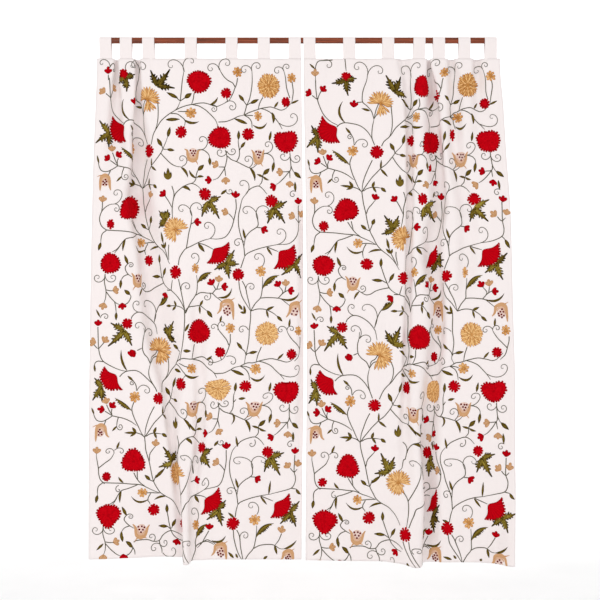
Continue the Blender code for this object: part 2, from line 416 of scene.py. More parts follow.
    def _fold_columns(self, drops: np.ndarray) -> np.ndarray:
        """Places across the cloth that stand closer together where it turns more."""
        fine = np.linspace(0, CLOTH_WIDTH, PROFILE_STEPS + 1)
        points = self._hung(drops, fine)
        heading = np.unwrap(np.arctan2(np.diff(points[..., 1]), np.diff(points[..., 0])))
        turning = np.abs(np.diff(heading, axis=1)).max(axis=0)
        weight = np.diff(fine) + self.turn_weight * np.concatenate([turning, [0]])
        walked = np.concatenate([[0], np.cumsum(weight)])
        even = np.interp(np.linspace(0, walked[-1], self.columns + 1), walked, fine)
        seams = [self.side_hem, CLOTH_WIDTH - self.side_hem]
        return self._with_seams(even, seams)

    def _fold_rows(self) -> np.ndarray:
        """Places down the cloth, even but for those beside the two level seams."""
        even = np.linspace(0, CLOTH_DROP, self.rows + 1)
        return self._with_seams(even, [self.heading, CLOTH_DROP - self.bottom_hem])

    @staticmethod
    def _with_seams(even: np.ndarray, seams: list, beside: float = 0.0025) -> np.ndarray:
        """Adds places on and beside each seam to evenly spread ones, and drops those too near."""
        extra = np.array([seam + side for seam in seams for side in (-beside, 0, beside)])
        away = np.abs(even[:, None] - extra).min(axis=1)
        return np.sort(np.concatenate([even[away > beside / 2], extra]))

    def _creased(self, points: np.ndarray) -> np.ndarray:
        """The hung points with the small creases pressed into them along the cloth's normal."""
        depth = np.zeros(points.shape[:2])
        across, drops = np.meshgrid(self.across, self.drops)
        for crease in self.panel.creases:
            (top_place, top_drop), (foot_place, foot_drop) = crease.top, crease.foot
            along = np.clip((drops - top_drop) / (foot_drop - top_drop), 0, 1)
            middle = top_place + (foot_place - top_place) * along
            beside = np.clip((across - middle) / crease.reach, -1, 1)
            if top_drop > 0:
                fade = np.sin(np.pi * along) ** self.crease_fade
            else:
                fade = np.cos(np.pi / 2 * along)
            depth += crease.depth * fade * np.cos(np.pi / 2 * beside) ** 2
        return points - depth[..., None] * self._normals(points)

    @staticmethod
    def _normals(points: np.ndarray) -> np.ndarray:
        """Unit normals of a grid of points, towards the room."""
        normals = np.cross(np.gradient(points, axis=0), np.gradient(points, axis=1))
        return normals / np.linalg.norm(normals, axis=2, keepdims=True)

    def at(self, across: np.ndarray, drop: np.ndarray, lift: np.ndarray) -> np.ndarray:
        """Points over the hung cloth.

        Args:
            across: Places across the flat cloth.
            drop: Places down the flat cloth.
            lift: Distances from the cloth's middle towards the room.

        Returns:
            One point for each place.
        """
        column = np.interp(across, self.across, np.arange(len(self.across)))
        row = np.interp(drop, self.drops, np.arange(len(self.drops)))
        left = np.minimum(column.astype(int), len(self.across) - 2)
        above = np.minimum(row.astype(int), len(self.drops) - 2)
        u = (column - left)[:, None]
        v = (row - above)[:, None]

        def between(grid: np.ndarray) -> np.ndarray:
            """The grid's values between its four nearest knots."""
            upper = grid[above, left] * (1 - u) + grid[above, left + 1] * u
            lower = grid[above + 1, left] * (1 - u) + grid[above + 1, left + 1] * u
            return upper * (1 - v) + lower * v

        return between(self.points) + between(self.normals) * np.asarray(lift)[:, None]


def new_mesh(name: str, points: np.ndarray, faces: list, thread: np.ndarray, tone: np.ndarray,
             material: bpy.types.Material) -> bpy.types.Object:
    """One smooth mesh with its thread coordinates and tones.

    Args:
        name: The piece's name.
        points: Its corners.
        faces: Each face's corners.
        thread: Each corner's place along and beside the stitches, in metres.
        tone: Each corner's tone, 0 dark to 1 light.
        material: Its finish.

    Returns:
        The new object, linked into the scene.
    """
    mesh = bpy.data.meshes.new(name)
    mesh.from_pydata(points.tolist(), [], faces)
    layer = mesh.uv_layers.new(name="thread")
    corners = np.zeros(len(mesh.loops), dtype=np.int32)
    mesh.loops.foreach_get("vertex_index", corners)
    layer.data.foreach_set("uv", thread[corners].astype(np.float32).ravel())
    shade = mesh.attributes.new("tone", "FLOAT", "POINT")
    shade.data.foreach_set("value", tone.astype(np.float32))
    mesh.shade_smooth()
    mesh.materials.append(material)
    piece = bpy.data.objects.new(name, mesh)
    bpy.context.scene.collection.objects.link(piece)
    return piece


def grid_faces(rows: int, columns: int, closed: bool = False) -> np.ndarray:
    """Quads of a grid of corners, whose last column meets its first where it is closed."""
    steps = columns if closed else columns - 1
    row, column = np.meshgrid(np.arange(rows - 1), np.arange(steps), indexing="ij")
    ahead = (column + 1) % columns
    quads = [row * columns + column, (row + 1) * columns + column,
             (row + 1) * columns + ahead, row * columns + ahead]
    return np.stack(quads, axis=-1).reshape(-1, 4)


def cap_faces(count: int) -> np.ndarray:
    """Quads across the inside of a ring of an even count of corners."""
    near = np.arange(count // 2 - 1)
    return np.stack([near, near + 1, count - 2 - near, count - 1 - near], axis=1)


def closed_shell(near: np.ndarray, far: np.ndarray) -> tuple:
    """Two grids of points, joined along their four edges.

    Args:
        near: The points of one side.
        far: The points of the other side, in the same grid.

    Returns:
        The corners, those of the near side first, and the quads of both sides and the edges.
    """
    rows, columns = near.shape[:2]
    total = rows * columns
    faces = grid_faces(rows, columns)
    number = np.arange(total).reshape(rows, columns)
    rim = np.concatenate([number[0, :-1], number[:-1, -1], number[-1, :0:-1], number[:0:-1, 0]])
    ahead = np.roll(rim, -1)
    edge = np.stack([rim, ahead, ahead + total, rim + total], axis=1)
    quads = np.vstack([faces, faces[:, ::-1] + total, edge])
    return np.vstack([near.reshape(-1, 3), far.reshape(-1, 3)]), quads


class StitchWork:
    """Stitching in one wool on one cloth: patches in flat sizes, laid on the hung cloth at the end.

    Faces that lie wholly in the outer margin of the cloth are left out, and the corners of the others
    are drawn in to the inner margin.
    """

    outer_margin = 0.0005
    inner_margin = 0.0006

    def __init__(self, cloth: HungCloth, name: str, material: bpy.types.Material) -> None:
        """Starts an empty piece of work.

        Args:
            cloth: The cloth that it is worked on.
            name: The piece's name.
            material: Its wool.
        """
        self.cloth = cloth
        self.name = name
        self.material = material
        self.parts: list = []
        self.faces: list = []
        self.count = 0

    def patch(self, across: np.ndarray, drop: np.ndarray, lift: np.ndarray, along: np.ndarray,
              beside: np.ndarray, tone: np.ndarray | float, closed: bool = False) -> None:
        """Adds one patch whose corners stand in a grid.

        Values that are the same all along a row or a column may be given once.

        Args:
            across: Corners' places across the flat cloth.
            drop: Corners' places down the flat cloth.
            lift: Corners' heights over the cloth's face.
            along: Corners' places along the stitches.
            Lets a piece ride on the one body.
            tone: Corners' tones, 0 dark to 1 light.
            closed: Whether the last column meets the first and the first row closes over a centre.
        """
        shape = np.shape(across)
        given = (across, drop, lift, along, beside, tone)
        values = [np.broadcast_to(value, shape).ravel() for value in given]
        quads = grid_faces(*shape, closed=closed)
        if closed:
            quads = np.vstack([quads, cap_faces(shape[1])])
        flat_across, flat_drop = values[0], values[1]
        margin = self.outer_margin
        inside = ((flat_across > margin) & (flat_across < CLOTH_WIDTH - margin)
                  & (flat_drop > margin) & (flat_drop < CLOTH_DROP - margin))
        quads = quads[inside[quads].any(axis=1)]
        if not len(quads):
            return
        ring_x, ring_y = flat_across[quads], flat_drop[quads]
        turned = (ring_x * np.roll(ring_y, -1, axis=1) - np.roll(ring_x, -1, axis=1) * ring_y).sum()
        if turned > 0:
            quads = quads[:, ::-1]
        self.parts.append(np.stack(values, axis=1))
        self.faces.append(quads + self.count)
        self.count += len(flat_across)

    def build(self) -> bpy.types.Object:
        """Lays the patches on the hung cloth, as one piece."""
        values = np.vstack(self.parts)
        faces = np.vstack(self.faces)
        used, faces = np.unique(faces, return_inverse=True)
        values = values[used]
        faces = faces.reshape(-1, 4)
        margin = self.inner_margin
        across = np.clip(values[:, 0], margin, CLOTH_WIDTH - margin)
        drop = np.clip(values[:, 1], margin, CLOTH_DROP - margin)
        points = self.cloth.at(across, drop, self.cloth.face + values[:, 2])
        piece = new_mesh(self.name, points, faces.tolist(), values[:, 3:5], values[:, 5], self.material)
        log.info("%s: %d faces", self.name, len(faces))
        return piece


class NodeDesk:
    """Lays out the nodes of one material."""

    def __init__(self, name: str, roughness: float, specular: float, sheen: float = 0.0) -> None:
        """Starts a material.

        Args:
            name: The material's name.
            roughness: How rough its surface is.
            specular: How strongly its bare surface reflects.
            sheen: How much soft light its fibres catch.
        """
        self.material = bpy.data.materials.new(name)
        self.material.use_nodes = True
        self.tree = self.material.node_tree
        self.shader = self.tree.nodes["Principled BSDF"]
        self.shader.inputs["Roughness"].default_value = roughness
        self.shader.inputs["Specular IOR Level"].default_value = specular
        self.shader.inputs["Sheen Weight"].default_value = sheen
        self.shader.inputs["Metallic"].default_value = 0

    def node(self, kind: str, **settings: object) -> bpy.types.Node:
        """A new node with its properties set."""
        made = self.tree.nodes.new(kind)
        for key, value in settings.items():
            setattr(made, key, value)
        return made

    def join(self, start: bpy.types.NodeSocket, end: bpy.types.NodeSocket) -> None:
        """Links one socket to another."""
        self.tree.links.new(start, end)

    def feed(self, socket: bpy.types.NodeSocket, value: object) -> None:
        """Gives a socket a link or a value."""
        if isinstance(value, bpy.types.NodeSocket):
            self.join(value, socket)
        else:
            socket.default_value = value

    def thread(self) -> tuple:
        """The thread coordinates, and each of their two parts."""
        place = self.node("ShaderNodeUVMap", uv_map="thread").outputs["UV"]
        parts = self.node("ShaderNodeSeparateXYZ")
        self.join(place, parts.inputs[0])
        return place, parts.outputs["X"], parts.outputs["Y"]

    def sum(self, operation: str, first: object, second: object = 0.0,
            third: object = 0.0) -> bpy.types.NodeSocket:
        """The result of one arithmetic step."""
        made = self.node("ShaderNodeMath", operation=operation)
        for socket, value in zip(made.inputs, (first, second, third)):
            self.feed(socket, value)
        return made.outputs[0]

    def noise(self, vector: bpy.types.NodeSocket, detail: float, scale: float = 1.0) -> bpy.types.NodeSocket:
        """Soft noise over a vector."""
        made = self.node("ShaderNodeTexNoise")
        self.join(vector, made.inputs["Vector"])
        made.inputs["Scale"].default_value = scale
        made.inputs["Detail"].default_value = detail
        return made.outputs["Fac"]

    def stretched(self, vector: bpy.types.NodeSocket, scale: tuple) -> bpy.types.NodeSocket:
        """A vector scaled along each axis."""
        made = self.node("ShaderNodeMapping")
        self.join(vector, made.inputs["Vector"])
        made.inputs["Scale"].default_value = scale
        return made.outputs["Vector"]

    def paint(self, fac: bpy.types.NodeSocket, stops: list) -> None:
        """Colours the shader by a ramp with (place, colour) stops."""
        made = self.node("ShaderNodeValToRGB")
        self.join(fac, made.inputs["Fac"])
        while len(made.color_ramp.elements) < len(stops):
            made.color_ramp.elements.new(1.0)
        for element, (place, colour) in zip(made.color_ramp.elements, stops):
            element.position = place
            element.color = (*colour, 1)
        self.join(made.outputs["Color"], self.shader.inputs["Base Color"])

    def bump(self, height: bpy.types.NodeSocket, distance: float, strength: float = 1.0) -> None:
        """Bumps the shader by a height in units of a distance."""
        made = self.node("ShaderNodeBump")
        made.inputs["Strength"].default_value = strength
        made.inputs["Distance"].default_value = distance
        self.join(height, made.inputs["Height"])
        self.join(made.outputs["Normal"], self.shader.inputs["Normal"])


@dataclass(frozen=True)
class CottonFinish:
    """Off-white plain-weave cotton with thick and thin threads."""

    name: str = "cotton_weave"
    light: tuple = (0.925, 0.850, 0.838)
    dark: tuple = (0.845, 0.768, 0.755)
    dark_stop: float = 0.3
    light_stop: float = 0.75
    thread: float = 0.0008
    relief: float = 0.00012
    roughness: float = 0.9
    specular: float = 0.25
    sheen: float = 0.08
    slub_along: float = 12
    slub_across: float = 900
    cloud_scale: float = 9.0
    least_shade: float = 0.3
    weave_painted_shade: float = 0.12
    # How much painted shade darkens the cloth where the weave sinks
    slub_shade: float = 0.35
    cloud_shade: float = 0.3
    weave_height: float = 0.5
    slub_height: float = 0.9

    def material(self) -> bpy.types.Material:
        """The weave's nodes, on the thread coordinates, with painted shade in the weave's hollows."""
        desk = NodeDesk(self.name, self.roughness, self.specular, self.sheen)
        place, across, down = desk.thread()
        turn = 2 * math.pi / self.thread
        across = desk.sum("SINE", desk.sum("MULTIPLY", across, turn))
        down = desk.sum("SINE", desk.sum("MULTIPLY", down, turn))
        weave = desk.sum("MULTIPLY", across, down)
        weft = desk.noise(desk.stretched(place, (self.slub_along, self.slub_across, 1)), detail=1)
        warp = desk.noise(desk.stretched(place, (self.slub_across, self.slub_along, 1)), detail=1)
        slubs = desk.sum("ADD", weft, warp)
        cloud = desk.noise(place, detail=3, scale=self.cloud_scale)
        shade = desk.sum("MULTIPLY_ADD", slubs, self.slub_shade, self.least_shade)
        # Painted shade: the colour is darker where the weave sinks, from the same weave that makes the bump
        shade = desk.sum("MULTIPLY_ADD", weave, self.weave_painted_shade, shade)
        shade = desk.sum("MULTIPLY_ADD", cloud, self.cloud_shade, shade)
        desk.paint(shade, [(self.dark_stop, self.dark), (self.light_stop, self.light)])
        height = desk.sum("MULTIPLY", weave, self.weave_height)
        desk.bump(desk.sum("MULTIPLY_ADD", slubs, self.slub_height, height), self.relief)
        return desk.material


@dataclass(frozen=True)
class WoolFinish:
    """Wool worked in rows of chain stitch."""

    name: str
    dark: tuple
    middle: tuple
    light: tuple
    row: float = STITCH_ROW
    link: float = 0.0024
    relief: float = 0.0005
    roughness: float = 0.9
    specular: float = 0.02
    slant: float = 1.6
    link_depth: float = 0.45
    fuzz_scale: float = 1500.0
    fuzz_height: float = 0.25
    least_shade: float = -0.2
    # How much painted shade darkens the wool where its links and the grooves between its rows sink
    hollow_painted_shade: float = 0.3
    streaks: tuple = (60, 900, 1)
    streak_shade: float = 0.24

    def material(self) -> bpy.types.Material:
        """The chain's links on the thread coordinates, with the tone from the mesh and painted shade where
        the stitches sink.
        """
        desk = NodeDesk(self.name, self.roughness, self.specular)
        place, along, beside = desk.thread()
        beside = desk.sum("MULTIPLY", beside, math.pi / self.row)
        rows = desk.sum("ABSOLUTE", desk.sum("SINE", beside))
        slant = desk.sum("MULTIPLY", desk.sum("ABSOLUTE", desk.sum("COSINE", beside)), self.slant)
        chain = desk.sum("ADD", desk.sum("MULTIPLY", along, 2 * math.pi / self.link), slant)
        links = desk.sum("MULTIPLY_ADD", desk.sum("SINE", chain), 0.5, 0.5)
        links = desk.sum("MULTIPLY_ADD", links, self.link_depth, 1 - self.link_depth)
        fuzz = desk.noise(place, detail=2, scale=self.fuzz_scale)
        height = desk.sum("MULTIPLY_ADD", fuzz, self.fuzz_height, desk.sum("MULTIPLY", rows, links))
        tone = desk.node("ShaderNodeAttribute", attribute_name="tone").outputs["Fac"]
        # Painted shade: the colour is darker where the chain's links and the grooves between its rows sink,
        # from the same height that makes the bump
        shade = desk.sum("MULTIPLY_ADD", height, self.hollow_painted_shade, desk.sum("ADD", tone, self.least_shade))
        streaks = desk.noise(desk.stretched(place, self.streaks), detail=1)
        shade = desk.sum("ADD", shade, -self.streak_shade / 2)
        shade = desk.sum("MULTIPLY_ADD", streaks, self.streak_shade, shade)
        desk.paint(shade, [(0.0, self.dark), (0.5, self.middle), (1.0, self.light)])
        desk.bump(height, self.relief)
        return desk.material


@dataclass(frozen=True)
class VarnishedWoodFinish:
    """Reddish brown hardwood under a satin varnish, its grain along the rod."""

    name: str = "rod_varnish"
    dark: tuple = (0.034, 0.006, 0.0024)
    light: tuple = (0.34, 0.066, 0.018)
    dark_stop: float = 0.35
    light_stop: float = 0.72
    roughness: float = 0.45
    specular: float = 0.2
    coat: float = 0.3
    coat_roughness: float = 0.1
    grain: tuple = (5, 210, 210)
    pores: tuple = (40, 1400, 1400)
    grain_shade: float = 0.75
    pore_shade: float = 0.35
    relief: float = 0.0002
    relief_strength: float = 0.6

    def material(self) -> bpy.types.Material:
        """Long grain and fine pores on the object's own coordinates."""
        desk = NodeDesk(self.name, self.roughness, self.specular)
        desk.shader.inputs["Coat Weight"].default_value = self.coat
        desk.shader.inputs["Coat Roughness"].default_value = self.coat_roughness
        place = desk.node("ShaderNodeTexCoord").outputs["Object"]
        grain = desk.noise(desk.stretched(place, self.grain), detail=4)
        pores = desk.noise(desk.stretched(place, self.pores), detail=2)
        shade = desk.sum("MULTIPLY", grain, self.grain_shade)
        shade = desk.sum("MULTIPLY_ADD", pores, self.pore_shade, shade)
        desk.paint(shade, [(self.dark_stop, self.dark), (self.light_stop, self.light)])
        desk.bump(shade, self.relief, self.relief_strength)
        return desk.material


@dataclass(frozen=True)
class StudioFinish:
    """Plain pale paper of the studio, faintly mottled."""

    name: str = "studio_paper"
    light: tuple = (0.96, 0.96, 0.96)
    dark: tuple = (0.93, 0.93, 0.93)
    dark_stop: float = 0.3
    light_stop: float = 0.7
    roughness: float = 0.95
    specular: float = 0.1
    mottle_scale: float = 3.0

    def material(self) -> bpy.types.Material:
        """Two close tones of paper."""
        desk = NodeDesk(self.name, self.roughness, self.specular)
        place = desk.node("ShaderNodeTexCoord").outputs["Object"]
        mottle = desk.noise(place, detail=2, scale=self.mottle_scale)
        desk.paint(mottle, [(self.dark_stop, self.dark), (self.light_stop, self.light)])
        return desk.material


class Wool(Enum):
    """The wools of the embroidery, each with its finish."""

    RED = WoolFinish("red_wool", (0.10, 0.001, 0.002), (0.58, 0.0005, 0.006), (0.72, 0.004, 0.012))
    GOLD = WoolFinish("gold_wool", (0.26, 0.085, 0.012), (0.66, 0.29, 0.080), (0.95, 0.62, 0.28))
    TAN = WoolFinish("tan_wool", (0.36, 0.16, 0.06), (0.66, 0.36, 0.165), (0.93, 0.74, 0.70))
    LEAF = WoolFinish("leaf_wool", (0.012, 0.008, 0.003), (0.150, 0.098, 0.013), (0.37, 0.28, 0.045))
    VINE = WoolFinish("vine_wool", (0.03, 0.026, 0.016), (0.095, 0.085, 0.053), (0.20, 0.19, 0.13))


class Motif(Enum):
    """What is worked at a place of the chart; a knot is only a place where vines meet."""

    KNOT = "knot"
    BLOSSOM = "beaded red blossom"
    MUM = "mum"
    DAISY = "daisy"
    FAN = "fan"
    CHINAR = "chinar leaf"
    CUP = "cup"
    ROSETTE = "gold rosette"
    RED_BUD = "red bud"
    LEAF_BUD = "olive leaf bud"
    BLOSSOM_OVER_MUM = "blossom in the upper repeats, mum in the lower"


class Repeat(Enum):
    """The four worked repeats of the chart, two on each curtain."""

    LEFT_UPPER = 0
    RIGHT_UPPER = 1
    LEFT_LOWER = 2
    RIGHT_LOWER = 3


class Blossom(NamedTuple):
    """A round flower: its reach to the east and on, clockwise by eighths, its tone and its shift."""

    reach: tuple
    tone: float = 0.0
    shift: tuple = (0, 0)


class ChinarForm(NamedTuple):
    """A chinar leaf: its base and its lobes' tips from its middle, and its tone."""

    base: tuple
    tips: list
    tone: float = 0.0


class FanForm(NamedTuple):
    """A fan: where its plain sides meet, and its rim from tip to tip, all from its middle."""

    apex: tuple
    rim: list


class CupForm(NamedTuple):
    """A cup: its wall from end to end, its small prongs and its dots, all from its middle."""

    wall: list
    prongs: list
    dots: list
    stretch: tuple = (1, 1)


class PetalRing(NamedTuple):
    """Petals about a centre: first and last angle, how many, start and end radius, width and lift."""

    start: float
    end: float
    count: int
    inner: float
    outer: float
    width: float
    lift: float


class DaisyForm(NamedTuple):
    """A daisy: where its petals meet from its middle, its rings of petals and its tone."""

    heart: tuple
    rings: list
    tone: float = 0.0


class Place(NamedTuple):
    """A motif, its place in each worked repeat, and its forms there."""

    motif: Motif
    worked: tuple
    forms: tuple = (None,)

    @property
    def chart(self) -> tuple:
        """Its place on the chart, set by the upper repeat that shows it flatter."""
        on_right = self.worked[Repeat.LEFT_UPPER.value][0] < CHART_SPLIT
        return self.worked[(Repeat.RIGHT_UPPER if on_right else Repeat.LEFT_UPPER).value]


class Tendril(NamedTuple):
    """A curl: where it leaves its stem, its centre, its turns (clockwise if positive) and its radius."""

    start: tuple
    centre: tuple
    turns: float
    radius: float


class Leaf(NamedTuple):
    """A leaf: its base, its tip, its width and how far its rib bends."""

    base: tuple
    tip: tuple
    width: float
    bend: float = 0.0


class Bud(NamedTuple):
    """A tiny bud: its place, and its wool in each worked repeat."""

    place: tuple
    wools: tuple


class Sprays(NamedTuple):
    """Vines, curls, leaves and buds, the repeats that have them, and the one that set their places."""

    worked_in: tuple
    source: Repeat | None
    vines: list
    tendrils: list
    leaves: list = []
    toothed: list = []
    buds: list = []


class Round(NamedTuple):
    """One round of a disc's stitches: its radius as a share of the outline, its height and its tone."""

    radius: float
    lift: float
    tone: float


class Band(NamedTuple):
    """How a band of chain stitch is worked: its width, height, tone, outline and rows of stitches."""

    width: float
    height: float
    tone: float
    outline: list
    rows: int


class Blade(NamedTuple):
    """How a leaf or petal is worked: its outline, its tones at base, middle and tip, and its height.

    It starts at a lift over the cloth and takes a number of steps. Its edges are darker than its
    middle by one amount, and its tone varies from stitch to stitch by another.
    """

    outline: list
    tones: tuple
    height: float = 0.0015
    lift: float = 0.0
    steps: int = 12
    edge: float = 0.10
    mottle: float = 0.05

    def shaded(self, shade: float, dark_tip: bool = False) -> "Blade":
        """The same blade in lighter wool, all but its tip where that stays dark."""
        base, middle, tip = self.tones
        return self._replace(tones=(base + shade, middle + shade, tip if dark_tip else tip + shade))


class Beading(NamedTuple):
    """Beads about a rim: their pitch, length, width and tone.

    They reach past the flower's outline by one amount, and its rounds end inside it by another.
    """

    pitch: float
    length: float
    width: float
    tone: float
    past: float
    inset: float


def oval(width: float, height: float, tone: float = 0.0, shift: tuple = (0, 0)) -> Blossom:
    """A blossom with an oval outline.

    Args:
        width: Its width, in squares.
        height: Its height, in squares.
        tone: How much lighter it is.
        shift: How far its middle is from its place.

    Returns:
        The blossom's form.
    """
    eighths = [math.radians(45 * turn) for turn in range(8)]
    reach = [1 / math.hypot(math.cos(a) / width * 2, math.sin(a) / height * 2) for a in eighths]
    return Blossom(tuple(reach), tone, shift)


UPPER = (Repeat.LEFT_UPPER, Repeat.RIGHT_UPPER)
LOWER = (Repeat.LEFT_LOWER, Repeat.RIGHT_LOWER)
RED_BUDS = (Wool.RED,)
TAN_BUDS = (Wool.TAN,)
RED_IN_RIGHT_UPPER = (Wool.TAN, Wool.RED, Wool.TAN, Wool.TAN)
TAN_IN_RIGHT_UPPER = (Wool.RED, Wool.TAN, Wool.RED, Wool.RED)
RED_ON_RIGHT = (Wool.TAN, Wool.RED)
TAN_ON_RIGHT = (Wool.RED, Wool.TAN)

# Outlines of blades and bands: half widths as shares of the widest, at shares of the length
LANCE = [(0, 0.22), (0.18, 0.72), (0.42, 1.0), (0.68, 0.78), (0.88, 0.36), (1, 0.06)]
PETAL = [(0, 0.25), (0.3, 0.6), (0.66, 1.0), (0.85, 0.8), (0.95, 0.45), (1, 0.12)]
BUD_PETAL = [(0, 0.3), (0.3, 0.7), (0.62, 1.0), (0.84, 0.95), (1, 0.4)]
LOBE = [(0, 0.5), (0.16, 0.9), (0.38, 1.0), (0.60, 0.74), (0.76, 0.42), (0.9, 0.34), (1, 0.2)]
TOOTH = [(0, 0.6), (0.4, 1.0), (0.75, 0.75), (1, 0.2)]
STEM = [(0, 1.0), (0.7, 0.95), (1, 0.55)]
CUP_WALL = [(0, 0.3), (0.12, 0.8), (0.32, 1.0), (0.5, 1.6), (0.68, 1.0), (0.88, 0.8), (1, 0.3)]
PRONG = [(0, 1.0), (0.5, 0.8), (1, 0.2)]

# Cross-sections: corners across, as shares of the half width, and their heights, as shares of the crown
BAND_ACROSS = np.array([-1, -0.62, 0, 0.62, 1])
BAND_CROWN = np.array([-0.12, 0.75, 1, 0.75, -0.12])
BLADE_ACROSS = np.array([-1, -0.7, -0.2, 0.2, 0.7, 1])
BLADE_CROWN = np.array([-0.1, 0.8, 1, 1, 0.8, -0.1])
BLADE_SHADES = np.array([-1.2, -0.2, 1, 1, -0.2, -1.2])
BEAD_STEPS = np.array([-1, -0.6, 0, 0.6, 1])
BEAD_WIDTHS = np.array([0.55, 0.85, 0.96, 1.0, 0.52])
BEAD_CROWN = np.array([-0.08, 0.8, 1, 0.8, -0.08])
BEAD_RISE = np.array([0.3, 0.9, 1.0, 0.9, 0.0])
BEAD_HEIGHT = 0.0020

# How each kind of band is worked
VINE_BAND = Band(0.0040, 0.0013, 0.5, STEM, 2)
TENDRIL_BAND = Band(0.0032, 0.0013, 0.5, STEM, 2)
FAN_SIDE = Band(0.0026, 0.0019, 0.22, STEM, 1)
CHINAR_RIB = Band(0.0050, 0.0021, 0.02, PRONG, 1)
HALF_LEAF_RIB = Band(0.0050, 0.0019, 0.16, LANCE, 2)
CUP_LINING = Band(0.0120, 0.0011, 0.66, CUP_WALL, 6)
CUP_SIDE = Band(0.0128, 0.0015, 0.50, CUP_WALL, 6)
CUP_PRONG = Band(0.0064, 0.0014, 0.42, PRONG, 3)

# How each kind of leaf and petal is worked
LEAF_BLADE = Blade(LANCE, (0.20, 0.42, 0.06))
LEAF_BUD_BLADE = Blade(LANCE, (0.5, 0.55, 0.0), lift=0.0002)
FAN_CORNER = Blade(LANCE, (0.4, 0.3, 0.1), steps=6)
ROSETTE_PETAL = Blade(PETAL, (0.20, 0.66, 0.36), steps=6, edge=0.18, mottle=0.08)
GOLD_PETAL = Blade(PETAL, (0.12, 0.78, 0.42), height=0.0012, steps=6, edge=0.30, mottle=0.10)
CHINAR_TOOTH = Blade(TOOTH, (0.0, -0.15, -0.1), height=0.0014, steps=5, edge=0.16)
CHINAR_LOBE = Blade(LOBE, (0.66, 0.58, -0.1), height=0.0016, lift=0.0002, steps=16, edge=0.20, mottle=0.20)
HALF_LEAF_TOOTH = Blade(TOOTH, (0.4, 0.25, 0.05), lift=0.0002, steps=5)
BUD_BLADES = {
    Wool.RED: Blade(BUD_PETAL, (0.08, 0.42, 0.20), height=0.0014, steps=6),
    Wool.TAN: Blade(BUD_PETAL, (0.22, 0.46, 0.24), height=0.0014, steps=6),
}

# Beads about small flowers, wide ones and fans; a flower is small that reaches less than SMALL_FLOWER
SMALL_FLOWER = 9
SMALL_BEADING = Beading(2.9, 3.6, 2.4, 0.36, 0.4, 2.1)
WIDE_BEADING = Beading(2.75, 2.7, 2.25, 0.26, 0.1, 1.15)
FAN_BEADING = Beading(2.75, 2.6, 2.2, 0.26, 0.4, 1.0)

# The rounds of each kind of disc, from its middle outwards
BLOSSOM_ROUNDS = [
    Round(0.05, 0.0016, 0.36),
    Round(0.22, 0.0017, 0.58),
    Round(0.40, 0.0015, 0.50),
    Round(0.56, 0.0017, 0.58),
    Round(0.70, 0.0015, 0.48),
    Round(0.82, 0.0017, 0.56),
    Round(0.92, 0.0014, 0.54),
    Round(1.00, -0.0001, 0.42),
]
ROSETTE_HEART = [Round(0.1, 0.0021, 0.55), Round(0.7, 0.0019, 0.40), Round(1.0, 0.0004, 0.25)]
MUM_HEART = [Round(0.1, 0.0026, 0.60), Round(0.7, 0.0024, 0.45), Round(1.0, 0.0010, 0.30)]
DAISY_HEART = [Round(0.1, 0.0024, 0.50), Round(0.7, 0.0022, 0.35), Round(1.0, 0.0008, 0.25)]
CUP_DOT = [Round(0.1, 0.0022, 0.06), Round(0.7, 0.0018, 0.04), Round(1.0, 0.0004, 0.02)]
CUP_HEART = [
    Round(0.1, 0.0006, 0.92), Round(0.5, 0.0006, 0.92), Round(0.9, 0.0005, 0.85), Round(1.0, -0.0001, 0.70),
]
CHINAR_HUB = [
    Round(0.10, 0.0012, 0.60), Round(0.50, 0.0012, 0.56), Round(0.85, 0.0010, 0.50),
    Round(1.00, -0.0001, 0.36),
]

# A fan's height and its waves, the pull on its hollow sides, its tones, and its rows from apex to rim
FAN_HEIGHT = 0.0015
FAN_WAVE = 0.0002
FAN_WAVES = 22
FAN_HOLLOW = 0.20
FAN_TONE = 0.50
FAN_RIBS = 0.10
FAN_EDGE = 0.14
FAN_ROWS = np.array([0.02, 0.14, 0.28, 0.44, 0.60, 0.74, 0.86, 0.94, 1.0])

# How steeply a fan's edges fall at its two sides and at its rim, and how it starts at its apex
FAN_SIDE_FALL = 22
FAN_RIM_FALL = 12
FAN_APEX_RISE = 10
FAN_SINK = 0.0001
FAN_CORNER_WIDTH = 1.2

# Across a half leaf, from its rib to its teeth
HALF_LEAF_ACROSS = np.array([0, 0.35, 0.7, 1.0])
HALF_LEAF_LIFTS = np.array([0.0010, 0.0013, 0.0011, -0.0001])
HALF_LEAF_TONES = np.array([0.45, 0.68, 0.6, 0.4])

# A half leaf's steps, and its teeth: the shares of its length that they stand at, where each starts
# across it, how far past its edge and ahead each reaches, and how wide each is
HALF_LEAF_STEPS = 21
HALF_LEAF_TEETH = np.linspace(0.16, 0.84, 7)
HALF_LEAF_TOOTH_START = 0.35
HALF_LEAF_TOOTH_PAST = 0.9
HALF_LEAF_TOOTH_AHEAD = 1.4
HALF_LEAF_TOOTH_WIDTH = 1.5

# Teeth along a chinar leaf's lobe: how far along, and their reach as a share of the longest
CHINAR_TEETH = ((0.30, 1.0), (0.48, 1.0), (0.66, 0.72))
TOOTH_ROOT = 0.10
TOOTH_OUT = 0.80
TOOTH_AHEAD = 0.60
TOOTH_WIDTH = 2.3
TOOTH_LENGTH = 1.2
TOOTH_LENGTH_SHARE = 0.62

# A chinar leaf's lobes: their width and what it grows by with their length, how much of it the middle
# blade fills, and where their ribs run; its hub's radius and how far it is from its base to its tips
LOBE_WIDTH = 3.0
LOBE_WIDENING = 0.175
LOBE_FILL = 0.80
LOBE_RIB = (0.04, 0.3, 0.6)
CHINAR_HUB_RADIUS = 3.1
CHINAR_HUB_SHARE = 0.28

# A bud's petals: their turns from its own direction, in radians, and their lengths; how far their
# root is from its middle, and how near a stem has to be for the bud to open away from it
BUD_PETALS = ((-0.66, 5.7), (0.66, 5.7), (0.0, 6.5))
BUD_PETAL_WIDTH = 3.3
BUD_ROOT = 2.9
BUD_STEM_NEAR = 2.5
BUD_STEM_FAR = 6.5

